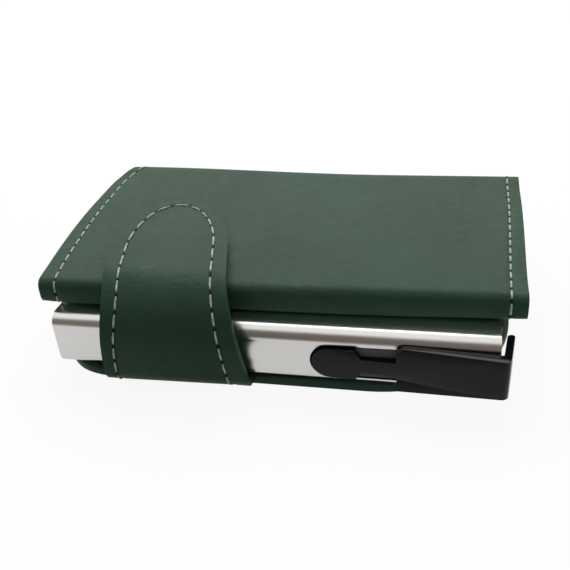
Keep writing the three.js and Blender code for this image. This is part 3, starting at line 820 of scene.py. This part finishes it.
lining_runs = [
    (SPINE_OUTER - SPINE_RADIUS - WRAP_FRONT, 0),
    (LINING_BEND, 1),
    (LINING_TOP - SPINE_RADIUS - LINING_BEND, 0),
    (LINING_BEND, 1),
    (SPINE_OUTER - SPINE_RADIUS - LINING_END, 0),
]
lining_course = make_course("lining_course", (WRAP_FRONT, LINING_SKIN), 0, lining_runs)
LINING_MIDDLE = run_to(lining_runs, 2) + MID_SPINE - SPINE_START
LINING_COVER_START = run_to(lining_runs, 4)
LINING_STOP = run_to(lining_runs, 5)

lining_back = cut_blank("lining_back", wrap_pattern(LINING_INSET, LINING_STOP))
score(lining_back, places_between(4 * MM, BACK_END - 8 * MM, 5 * MM))
score(lining_back, places_between(BACK_END - 8 * MM, BACK_END, 1 * MM))
score(lining_back, places_between(BACK_END, LINING_COVER_START, 0.7 * MM))
for vertex in lining_back.data.vertices:
    vertex.co.z = LIFT * (1 - ramp(vertex.co.y, BACK_END - 7 * MM, BACK_END - 1 * MM))
lining_cover = copy_of(lining_back, "lining_cover")
score(lining_cover, places_between(LINING_COVER_START, LINING_STOP - 3 * MM, 4 * MM))
score(lining_cover, places_between(-WRAP_HALF + 4 * MM, WRAP_HALF - 4 * MM, 4 * MM), "X")
for piece, start, end in (
    (lining_back, -1 * MM, LINING_MIDDLE),
    (lining_cover, LINING_MIDDLE, LINING_STOP + 1 * MM),
):
    apply_modifier(piece, "SOLIDIFY", thickness=LINING, offset=1)
    keep_between(piece, start, end)
    bend_along(piece, lining_course, skin_up=False)
    finish(piece, black_lining, "black_lining", cover_settles, panel_settles)
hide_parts("back_lining")
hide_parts("spine_lining", "cover_lining")

# %% [markdown]
# The back panel's board follows the panel's outline, with a notch where the tongue of the strap lies.

# %% Board of the back panel
BOARD_INSET = 1.55 * MM
BOARD_HALF = WRAP_HALF - BOARD_INSET
BOARD_END = high("back_board").y - WRAP_FRONT
BOARD_LEVEL = low("back_board").z
mouth_corner, base_corner = panel_corners(BOARD_INSET)
notch = [
    (TONGUE[0], BOARD_INSET), (TONGUE[0], TONGUE_END),
    (TONGUE[1], TONGUE_END), (TONGUE[1], BOARD_INSET),
]
back_stiffener = cut_blank(
    "back_stiffener",
    mouth_corner + notch + base_corner + [(BOARD_HALF, BOARD_END), (-BOARD_HALF, BOARD_END)],
)
apply_modifier(back_stiffener, "SOLIDIFY", thickness=high("back_board").z - BOARD_LEVEL, offset=1)
bevel_edges(back_stiffener, 0.1 * MM, angle=50)
finish(
    back_stiffener, board, "board",
    lambda place: Vector((0, WRAP_FRONT, BOARD_LEVEL)), panel_settles,
)
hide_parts("back_board")
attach(back_stiffener, "case")

# %% [markdown]
# ## The strap
# The strap is cut from two layers, an outer leather and a lining of the same leather, sewn together round
# the edge. It widens towards its foot, leans towards the mouth of the case, and ends in a long rounded
# tip. One function gives its outline at any distance inside the edge, so the same line serves the knife
# and the needle.

# %% Pattern and course of the strap
STRAP_LEATHER = 1.15 * MM
STRAP_LINING = 0.9 * MM
STRAP_OUTER = low("strap_root").y
STRAP_TOP = high("strap_tab_leather").z
STRAP_ROOT_LEVEL = low("strap_root").z
STRAP_ROOT_END = high("strap_root").y
STRAP_X = (low("strap_root").x + high("strap_root").x) / 2
LOW_RADIUS = 3.6 * MM
HIGH_RADIUS = 12.5 * MM
TAB_HALF = 13.25 * MM
FOOT_HALF = 15.95 * MM
FLARE_START = 42 * MM
FLARE_LENGTH = 24 * MM
LEAN_SOFTNESS = 6 * MM
LEAN = math.atan(0.256)
TIP_REACH = 47.8 * MM
TIP_LENGTH = 28 * MM
TIP_STEPS = 48
SHOULDER_INSET_SHARE = 0.8
TIP_INSET_SHARE = 1.77
FLARE_INSET_SHARES = {-1: -0.2, 1: 0.25}

strap_runs = [
    (STRAP_ROOT_END - STRAP_OUTER - LOW_RADIUS, 0),
    (LOW_RADIUS, -1),
    (STRAP_TOP - HIGH_RADIUS - STRAP_ROOT_LEVEL - LOW_RADIUS, 0),
    (HIGH_RADIUS, -1),
    (TIP_REACH, 0),
]
strap_course = make_course("strap_course", (STRAP_ROOT_END, STRAP_ROOT_LEVEL), math.pi, strap_runs)
ROOT_END = run_to(strap_runs, 1)
SIDE_START = run_to(strap_runs, 2)
SIDE_END = run_to(strap_runs, 3)
TAB_START = run_to(strap_runs, 4)
LEAN_START = TAB_START - HIGH_RADIUS
MID_SIDE = (SIDE_START + SIDE_END) / 2


def soft_reach(s):
    reach = s - LEAN_START
    return (reach + math.hypot(reach, LEAN_SOFTNESS)) / 2


def flare(s):
    return 1 - ramp(s, FLARE_START - FLARE_LENGTH, FLARE_START)


def strap_side(s, side, inset):
    straight = TAB_HALF / math.cos(LEAN)
    half = straight + (FOOT_HALF - straight) * flare(s)
    half -= inset * (1 / math.cos(LEAN) + FLARE_INSET_SHARES[side] * flare(s))
    return STRAP_X - math.tan(LEAN) * soft_reach(s) + side * half, s


def on_tab(reach, across):
    x = STRAP_X + across * math.cos(LEAN) - reach * math.sin(LEAN)
    s = LEAN_START + across * math.sin(LEAN) + reach * math.cos(LEAN)
    return x - math.tan(LEAN) * (soft_reach(s) - (s - LEAN_START)), s


def strap_line(inset):
    shoulder = TIP_REACH - TIP_LENGTH + SHOULDER_INSET_SHARE * inset
    tip = TIP_LENGTH - TIP_INSET_SHARE * inset
    half = TAB_HALF - inset
    left, right = (
        [strap_side(s, side, inset) for s in [inset / 10] + places_between(8 * MM, end, 2 * MM)]
        for side, end in ((side, on_tab(shoulder, side * half)[1]) for side in (-1, 1))
    )
    turns = [math.pi * (1 - i / TIP_STEPS) for i in range(1, TIP_STEPS)]
    round_tip = [on_tab(shoulder + tip * math.sin(t), half * math.cos(t)) for t in turns]
    return left + round_tip + right[::-1]


# %% [markdown]
# The seam pulls the outer leather into a shallow groove. Two narrow insets of the flat face, one sunk and
# one raised again, draw that groove all round before the leather gets its thickness. At the foot both
# layers are skived thin, to go under the back panel, and the foot is tucked in a little.

# %% Leather of the strap
STRAP_SEAM = 3.3 * MM
GROOVE_HALF = 0.45 * MM
GROOVE_DEPTH = 0.16 * MM
SKIVED_SHARE = 0.38
SKIVED_REACH = 4.5 * MM
FOOT_TUCK = 1.1 * MM
FOOT_TUCK_AT_LEFT_SHARE = 0.35
STRAP_END = TAB_START + TIP_REACH

strap_places = (
    places_between(1 * MM, ROOT_END, 3 * MM)
    + places_between(ROOT_END, SIDE_START, 0.5 * MM)
    + places_between(SIDE_START, SIDE_END, 1.2 * MM)
    + places_between(SIDE_END, TAB_START, 0.5 * MM)
    + places_between(TAB_START, STRAP_END - HIGH_RADIUS - 3 * MM, 2.5 * MM)
)


def strap_layer(name, inset, thickness, edge, segments, grooved=False):
    layer = cut_blank(name, strap_line(inset))
    if grooved:
        edit_all(layer)
        bpy.ops.mesh.inset(thickness=STRAP_SEAM - GROOVE_HALF, depth=0)
        bpy.ops.mesh.inset(thickness=GROOVE_HALF, depth=-GROOVE_DEPTH)
        bpy.ops.mesh.inset(thickness=GROOVE_HALF, depth=GROOVE_DEPTH)
        done_editing()
    score(layer, strap_places)
    apply_modifier(layer, "SOLIDIFY", thickness=thickness, offset=-1)
    bevel_edges(layer, edge, segments, 50)
    return layer


def root_is_skived(place):
    share = SKIVED_SHARE + (1 - SKIVED_SHARE) * ramp(place.y, ROOT_END, ROOT_END + SKIVED_REACH)
    return Vector((0, 0, place.z * (share - 1)))


def strap_settles(place):
    x, y, z = place
    tucked = FOOT_TUCK_AT_LEFT_SHARE
    tucked += (1 - FOOT_TUCK_AT_LEFT_SHARE) * ramp(x, ROOT_LEFT, ROOT_LEFT + 31 * MM)
    tucked *= FOOT_TUCK * (1 - ramp(z, 2 * MM, 10 * MM)) * ramp(-y, 30 * MM, 34 * MM)
    return Vector((0, tucked, 0))


strap_face = strap_layer("strap_lower", 0, STRAP_LEATHER, 0.35 * MM, 3, grooved=True)
strap_back = strap_layer("strap_lower_lining", 0.12 * MM, STRAP_LINING, 0.25 * MM, 2)
move_points(strap_back, lambda place: Vector((0, 0, -STRAP_LEATHER - GLUE_LINE)))
strap_tip = copy_of(strap_face, "strap_upper")
strap_tip_back = copy_of(strap_back, "strap_upper_lining")
for piece, start, end in (
    (strap_face, 0.5 * MM, MID_SIDE),
    (strap_back, 0.5 * MM, MID_SIDE),
    (strap_tip, MID_SIDE, STRAP_END),
    (strap_tip_back, MID_SIDE, STRAP_END),
):
    keep_between(piece, start, end)
    move_points(piece, root_is_skived)
    bend_along(piece, strap_course, skin_up=True)
    finish(piece, green_leather, "green_leather", strap_settles)
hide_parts("strap_root", "strap_side_leather")
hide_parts("strap_side_lining")
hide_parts("strap_tab_leather")
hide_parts("strap_tab_lining")

# %% [markdown]
# ## Stitches
# Each stitch is a short length of thread that lies proud of the leather and dives into a hole at both
# ends. One is modelled from a sphere, joined to the needle hole beside it and copied along the seam
# lines while the leather is still flat, and the row is bent along the same course. The needle hole is a
# small, flat, near-black ellipsoid on the leather. Its colour is painted shade of the hole, not an opening.

# %% One stitch, and rows of it
THREAD = 0.47 * MM
STITCH_SHARE = 0.76
DIVE = 0.12 * MM
HOLE = (0.38 * MM, 0.2, 0.13 * MM)
SIDES = 8
STITCH_RINGS = 9
HOLE_RINGS = 5
STITCH_POINTS = SIDES * (STITCH_RINGS - 1) + 2
HOLE_POINTS = SIDES * (HOLE_RINGS - 1) + 2


def join_in(piece, added, material, added_material):
    for part in (piece, added):
        dress(part, material)
        part.data.materials.append(added_material)
    for face in added.data.polygons:
        face.material_index = 1
    work_on(piece)
    added.select_set(True)
    bpy.ops.object.join()


def one_stitch():
    deselect_all()
    bpy.ops.mesh.primitive_uv_sphere_add(
        segments=SIDES, ring_count=STITCH_RINGS, rotation=(math.pi / 2, 0, 0)
    )
    stitch = take_new("stitch")
    settle(stitch)
    for vertex in stitch.data.vertices:
        x, y, z = vertex.co
        along = math.copysign(abs(y) ** 0.6, y)
        width = max(0, 1 - along * along) ** 0.25 / (math.hypot(x, z) or 1) * THREAD / 2
        vertex.co = (x * width, along / 2, z * width * 0.8 - DIVE * along * along)
    deselect_all()
    # The needle hole: a flattened dark ellipsoid whose colour is painted shade.
    bpy.ops.mesh.primitive_uv_sphere_add(
        segments=SIDES, ring_count=HOLE_RINGS, scale=HOLE, location=(0, 0.5 / STITCH_SHARE, -DIVE)
    )
    hole = take_new("needle_hole")
    settle(hole)
    join_in(stitch, hole, mint_thread, painted_hole_shade)
    return stitch


def resample(line, pitch_at):
    points = [Vector((x, s, 0)) for x, s in line]
    marks = []
    travelled = 0
    due = pitch_at(points[0]) / 2
    for a, b in zip(points, points[1:]):
        span = (b - a).length
        while due <= travelled + span:
            place = a.lerp(b, (due - travelled) / span)
            marks.append((place, (b - a).normalized(), pitch_at(place)))
            due += pitch_at(place)
        travelled += span
    return marks


def sew(name, line, pitch_at, level, out):
    base = one_stitch()
    copies = []
    for place, way, pitch in resample(line, pitch_at):
        twin = copy_of(base, "stitch_copy")
        turn = Matrix.Rotation(math.atan2(-way.x, way.y), 4, "Z")
        twin.data.transform(Matrix.Diagonal((1, pitch * STITCH_SHARE, out, 1)))
        twin.data.transform(Matrix.Translation(place + Vector((0, 0, out * level))) @ turn)
        copies.append(twin)
    bpy.data.objects.remove(base)
    work_on(copies[0])
    for twin in copies:
        twin.select_set(True)
    bpy.ops.object.join()
    row = take_new(name)
    print(name, "has", len(copies), "stitches")
    return row


# %% [markdown]
# The strap's stitches are short on the side and longer on the tab. A stitch must not be cut where the
# strap is parted, so each whole stitch goes to the part that holds its middle.

# %% Seam of the strap
SIDE_PITCH = 3.85 * MM
TAB_PITCH = 5.9 * MM
TIP_PITCH = 4.6 * MM


def strap_pitch(place):
    pitch = SIDE_PITCH + (TAB_PITCH - SIDE_PITCH) * ramp(place.y, 40 * MM, 49 * MM)
    return pitch + (TIP_PITCH - TAB_PITCH) * ramp(place.y, 62 * MM, 70 * MM)


def finish_row(row, start, end, line, skin_up, *shifts):
    points = np.array([vertex.co for vertex in row.data.vertices])
    group = STITCH_POINTS + HOLE_POINTS
    middles = [points[i:i + STITCH_POINTS, 1].mean() for i in range(0, len(points), group)]
    edit_where(row, lambda vertex: not start <= middles[vertex.index // group] < end, "VERT")
    bpy.ops.mesh.delete(type="VERT")
    done_editing()
    bend_along(row, line, skin_up)
    smooth(row, 60)
    move_points(row, *shifts)


seam_line = [(x, s) for x, s in strap_line(STRAP_SEAM) if s > ROOT_END]
seam_low = sew("strap_stitches_low", seam_line, strap_pitch, 0.06 * MM, 1)
seam_high = copy_of(seam_low, "strap_stitches_high")
finish_row(seam_low, 0, MID_SIDE, strap_course, True, strap_settles)
finish_row(seam_high, MID_SIDE, STRAP_END, strap_course, True)

# %% [markdown]
# The wrap is sewn along its two short ends, right round from the back panel over the spine and the cover
# to the inside of the front fold. These rows settle with the leather that they hold.

# %% Seams of the wrap
WRAP_PITCH = 3.7 * MM


def end_line(side):
    x = side * (WRAP_HALF - SEAM_INSET)
    taper, corner, end_turn = (BASE_TAPER, BASE_CORNER, 360) if side > 0 else (0, MOUTH_CORNER, 180)
    corner -= SEAM_INSET
    centre = (x - side * (taper + corner), SEAM_INSET + corner)
    front = x - side * seam_drift(x, COVER_FRONT)
    return arc(centre, corner, 270, end_turn, 24) + [
        (x, BACK_END), (x, COVER_START), (front, FOLD_START), (front, WRAP_END - SEAM_INSET)
    ]


back_rows = []
cover_rows = []
for side, end in ((-1, "mouth"), (1, "base")):
    row = sew(f"wrap_stitches_back_{end}", end_line(side), lambda place: WRAP_PITCH, 0.1 * MM, -1)
    twin = copy_of(row, f"wrap_stitches_cover_{end}")
    finish_row(row, 0, MID_SPINE, wrap_course, False, cover_settles, panel_settles)
    finish_row(twin, MID_SPINE, WRAP_END, wrap_course, False, cover_settles, panel_settles)
    back_rows.append(row)
    cover_rows.append(twin)

# %% [markdown]
# ## Leather across the joints
# The spine folds away from the case, the cover from the spine, and the strap swings and lifts. The
# leather, lining and stitch rows on each side of these folds only get their places put into their meshes.

for lower_body, upper_body, joint, way, pieces in (
    ("case", "spine", "spine_fold", (0, 1, 1), (wrap_back, lining_back, *back_rows)),
    ("spine", "cover", "cover_fold", (0, -1, 1), (wrap_cover, lining_cover, *cover_rows)),
    ("case", "strap_side", "strap_swing", (0, -1, 1), (strap_face, strap_back, seam_low)),
    ("strap_side", "strap_tab", "strap_lift", (0, 1, 1), (strap_tip, strap_tip_back, seam_high)),
):
    for piece in pieces:
        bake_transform(piece)

# %% [markdown]
# ## The case
# The tube starts as a block. Its four long edges are rounded, its ends are taken out, and Solidify gives
# it the wall. The slot for the trigger is cut by a long round-ended block, and every cut edge gets a hair
# of a bevel, because a cut edge with no bevel never catches the light.

# %% Aluminium tube
TUBE_WALL = 1.1 * MM
TUBE_EDGE_RADIUS = 2.7 * MM
SLOT_LENGTH = 37.8 * MM
SLOT_LOW = 1.8 * MM
SLOT_HIGH = 3.2 * MM
CUT_EDGE = 0.12 * MM

tube_low, tube_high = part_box("case_tube")
tube = block("aluminium_tube", tube_low, tube_high)


def runs_along(edge):
    start, end = (tube.data.vertices[i].co.x for i in edge.vertices)
    return abs(start - end) > 1 * MM


edit_where(tube, runs_along, "EDGE")
bpy.ops.mesh.bevel(offset=TUBE_EDGE_RADIUS, segments=14, affect="EDGES")
done_editing()
edit_where(tube, lambda face: abs(face.normal.x) > 0.9)
bpy.ops.mesh.delete(type="FACE")
done_editing()
apply_modifier(tube, "SOLIDIFY", thickness=TUBE_WALL, offset=-1, use_even_offset=True)

slot_radius = (tube_high.z - SLOT_HIGH - tube_low.z - SLOT_LOW) / 2
slot_middle = (tube_high.z - SLOT_HIGH + tube_low.z + SLOT_LOW) / 2
slot_start = tube_high.x - SLOT_LENGTH + slot_radius
deselect_all()
bpy.ops.mesh.primitive_cylinder_add(
    vertices=64, radius=slot_radius, depth=8 * MM, rotation=(math.pi / 2, 0, 0),
    location=(slot_start, tube_low.y, slot_middle),
)
cutter = take_new("slot_cutter")
settle(cutter)
for vertex in cutter.data.vertices:
    if vertex.co.x > slot_start + 0.01 * MM:
        vertex.co.x += SLOT_LENGTH
apply_modifier(tube, "BOOLEAN", operation="DIFFERENCE", object=cutter, solver="EXACT")
bpy.data.objects.remove(cutter)
bevel_edges(tube, CUT_EDGE, angle=40)
smooth(tube, 30)
dress(tube, aluminium)
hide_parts("case_tube")
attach(tube, "case")
print("tube faces:", len(tube.data.polygons))

# %% [markdown]
# ## The trigger
# The trigger's solid already has its outline, pad, neck and stepped ejector. A copy of it is merged, its
# flat faces are cleaned of needless lines, and a bevel rounds its moulded edges. Its end leg opens a
# little towards the spine. A grey plate in the slot beside the neck is painted light. It stands in for the
# dimly lit inside of the tube seen through the slot. The solid itself stays as it is.

# %% Moulded trigger
MOULDED_EDGE = 0.24 * MM
LEG_HEIGHT = 7 * MM
LEG_OPENS = 0.9 * MM
CORNER_IN = 0.4 * MM
SLOT_PLAY = 0.4 * MM
PAINTED_INTERIOR_SIZE = Vector((9 * MM, 0.8 * MM, 2 * (slot_radius - SLOT_PLAY)))
PAINTED_INTERIOR_PLACE = Vector((tube_high.x - 24 * MM, tube_low.y + 0.6 * MM, slot_middle))

trigger = copy_of(frame["nodes"]["trigger_lever"], "moulded_trigger")
trigger.parent = None
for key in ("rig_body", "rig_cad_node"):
    del trigger[key]
edit_all(trigger)
bpy.ops.mesh.remove_doubles(threshold=0.001 * MM)
bpy.ops.mesh.dissolve_limited(angle_limit=math.radians(1))
done_editing()
bevel_edges(trigger, MOULDED_EDGE, 3, angle=40)


def end_leg_opens(place):
    at_leg = ramp(place.x, tube_high.x - 6 * MM, tube_high.x + 0.5 * MM)
    opens = LEG_OPENS * (place.y - tube_low.y) / LEG_HEIGHT
    return Vector((at_leg * (opens - CORNER_IN), 0, 0))


move_points(trigger, end_leg_opens)
# A grey plate in the slot: painted light standing in for the dimly lit inside of the tube.
painted_interior_plate = block(
    "painted_interior_plate", PAINTED_INTERIOR_PLACE - PAINTED_INTERIOR_SIZE / 2, PAINTED_INTERIOR_PLACE + PAINTED_INTERIOR_SIZE / 2
)
bevel_edges(painted_interior_plate, 0.15 * MM)
join_in(trigger, painted_interior_plate, gloss_plastic, painted_interior_light)
smooth(trigger)
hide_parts("trigger_lever")
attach(trigger, "trigger")
print("trigger faces:", len(trigger.data.polygons))

# %% [markdown]
# The felt strips at the mouth hold the cards by friction. Felt has soft, slightly uneven faces, so each
# strip is cut into small squares, rounded, and its faces are moved by a fine noise.

# %% Felt strips
FLUFF = 0.06 * MM


def felt_strip(node, name):
    lowest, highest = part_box(node)
    strip = block(name, lowest, highest)
    bevel_edges(strip, 0.2 * MM)
    score(strip, places_between(lowest.x + 1 * MM, highest.x - 1 * MM, 1 * MM), "X")
    score(strip, places_between(lowest.y + 1 * MM, highest.y - 1 * MM, 1 * MM))
    middle = (lowest.z + highest.z) / 2

    def fluff(place):
        rise = abs(noise.noise(place / MM)) * FLUFF
        return Vector((0, 0, -rise if place.z > middle else rise))

    finish(strip, felt, "black_felt", fluff, angle=50)
    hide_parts(node)
    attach(strip, "case")


felt_strip("friction_pad_lower", "felt_lower")
felt_strip("friction_pad_upper", "felt_upper")

# %% [markdown]
# The pieces that keep their solids get only a finish.

# %% Finishes of the carried-over solids
for node, material in (
    ("base_insert", matt_plastic),
    ("pivot_pin", steel),
    ("tape_strip_front", tape),
    ("tape_strip_rear", tape),
    ("strike_plate", steel),
    ("strap_magnet", magnet_sheet),
):
    dress(frame["nodes"][node], material)

# %% [markdown]
# ## Stage, light and camera
# The wallet lies on a plain white floor under one wide soft lamp. The camera looks down at it from the
# front left, at the angle and distance that make its edges run as they do in the photograph.

# %% Floor
FLOOR_SIZE = 4
FLOOR_LEVEL = -0.3 * MM
GLOW_SEEN = 0.75
GLOW_MIRRORED = 0.55


def floor_white():
    material, tree, shader = new_material("matt_white_paper")
    tree.nodes.remove(shader)
    ray = add_node(tree, "LightPath").outputs
    seen = add_node(
        tree, "Math", {0: ray["Is Camera Ray"], 1: ray["Is Transmission Ray"]}, operation="MAXIMUM"
    )
    seen = add_node(tree, "Math", {0: seen.outputs[0], 1: GLOW_SEEN}, operation="MULTIPLY")
    share = add_node(
        tree, "Math", {0: ray["Is Glossy Ray"], 1: GLOW_MIRRORED, 2: seen.outputs[0]},
        operation="MULTIPLY_ADD",
    )
    paper = add_node(tree, "BsdfDiffuse", {"Color": linear("#CFCFCF")})
    glow = add_node(tree, "Emission", {"Color": (1, 1, 1, 1), "Strength": 1.22})
    mix = add_node(
        tree, "MixShader",
        {"Fac": share.outputs[0], 1: paper.outputs["BSDF"], 2: glow.outputs["Emission"]},
    )
    feed(tree.nodes["Material Output"], {"Surface": mix.outputs["Shader"]})
    return material


deselect_all()
bpy.ops.mesh.primitive_plane_add(size=FLOOR_SIZE, location=(0, 0, FLOOR_LEVEL))
floor = take_new("floor")
floor.data.materials.append(floor_white())

# %% World and lamp
LAMP_PLACE = Vector((-0.08, 0.5, 0.62))
LAMP_SIZE = (0.8, 0.6)
LAMP_WATTS = 3.45

world = bpy.data.worlds.new("studio")
bpy.context.scene.world = world
world.use_nodes = True
sky = world.node_tree
grey = sky.nodes["Background"]
feed(grey, {"Color": linear("#C8C8CC"), "Strength": 0.33})
white = add_node(sky, "Background", {"Color": (1, 1, 1, 1), "Strength": 1})
ray = add_node(sky, "LightPath").outputs
seen = add_node(
    sky, "Math", {0: ray["Is Camera Ray"], 1: ray["Is Glossy Ray"]}, operation="MAXIMUM"
)
clear = add_node(
    sky, "Math", {0: seen.outputs[0], 1: ray["Is Transmission Ray"]}, operation="MAXIMUM"
)
mix = add_node(
    sky, "MixShader",
    {"Fac": clear.outputs[0], 1: grey.outputs["Background"], 2: white.outputs["Background"]},
)
feed(sky.nodes["World Output"], {"Surface": mix.outputs["Shader"]})

deselect_all()
bpy.ops.object.light_add(type="AREA", location=LAMP_PLACE)
lamp = bpy.context.active_object
lamp.name = "lamp_above"
lamp.data.shape = "RECTANGLE"
lamp.data.size, lamp.data.size_y = LAMP_SIZE
lamp.data.energy = LAMP_WATTS
lamp.rotation_euler = (-LAMP_PLACE).to_track_quat("-Z", "Y").to_euler()

# %% [markdown]
# In a studio, a dark card in front of a metal thing gives its round edges a dark band, without which
# bright metal looks like white plastic. The card stands between the wallet and the camera, which can't
# see it, and its long edges fade out so that the band ends softly.

# %% Card in front
CARD_PLACE = (0, -0.055, 0.03)
CARD_LENGTH = 0.4
CARD_HEIGHT = 0.06
CARD_FADE = [(0, "#000000"), (0.12, "#FFFFFF"), (0.55, "#FFFFFF"), (1, "#000000")]

deselect_all()
bpy.ops.mesh.primitive_plane_add(size=1, rotation=(math.pi / 2, 0, 0), location=CARD_PLACE)
card = take_new("dark_card")
card.dimensions = (CARD_LENGTH, CARD_HEIGHT, 0)
settle(card)
card_material, card_tree, card_shader = new_material("matt_brown_card")
place = add_node(card_tree, "TexCoord").outputs["Object"]
height = add_node(card_tree, "SeparateXYZ", {"Vector": place}).outputs["Z"]
share = add_node(card_tree, "Math", {0: height, 1: CARD_HEIGHT}, operation="DIVIDE")
fade = colour_ramp(card_tree, share.outputs[0], CARD_FADE)
feed(card_shader, {"Base Color": linear("#A0968C"), "Roughness": 0.9, "Alpha": fade})
card.data.materials.append(card_material)
card.visible_camera = False
card.visible_diffuse = False
card.visible_shadow = False

# %% Camera
FOCAL_PIXELS = 744.78
IMAGE_PIXELS = 570
SENSOR = 36
YAW = math.radians(14.30)
PITCH = math.radians(30.66)
ROLL = math.radians(-4.80)
CAMERA_PLACE = Vector((36.69, -153.02, 100.19)) * MM

right = Vector((math.cos(YAW), math.sin(YAW), 0))
ahead = Vector((-math.sin(YAW), math.cos(YAW), 0))
upwards = Vector((0, 0, 1))
forward = ahead * math.cos(PITCH) - upwards * math.sin(PITCH)
up = ahead * math.sin(PITCH) + upwards * math.cos(PITCH)
across = right * math.cos(ROLL) + up * math.sin(ROLL)
above = up * math.cos(ROLL) - right * math.sin(ROLL)
bpy.ops.object.camera_add()
camera = bpy.context.active_object
camera.data.sensor_width = SENSOR
camera.data.lens = FOCAL_PIXELS / IMAGE_PIXELS * SENSOR
camera.data.clip_start = 1 * MM
turn = Matrix((across, above, -forward)).transposed().to_4x4()
camera.matrix_world = Matrix.Translation(CAMERA_PLACE) @ turn
bpy.context.scene.camera = camera
bpy.context.scene.view_settings.view_transform = "Standard"

# %% Clear the courses away
for line in (wrap_course, lining_course, strap_course):
    bpy.data.objects.remove(line)
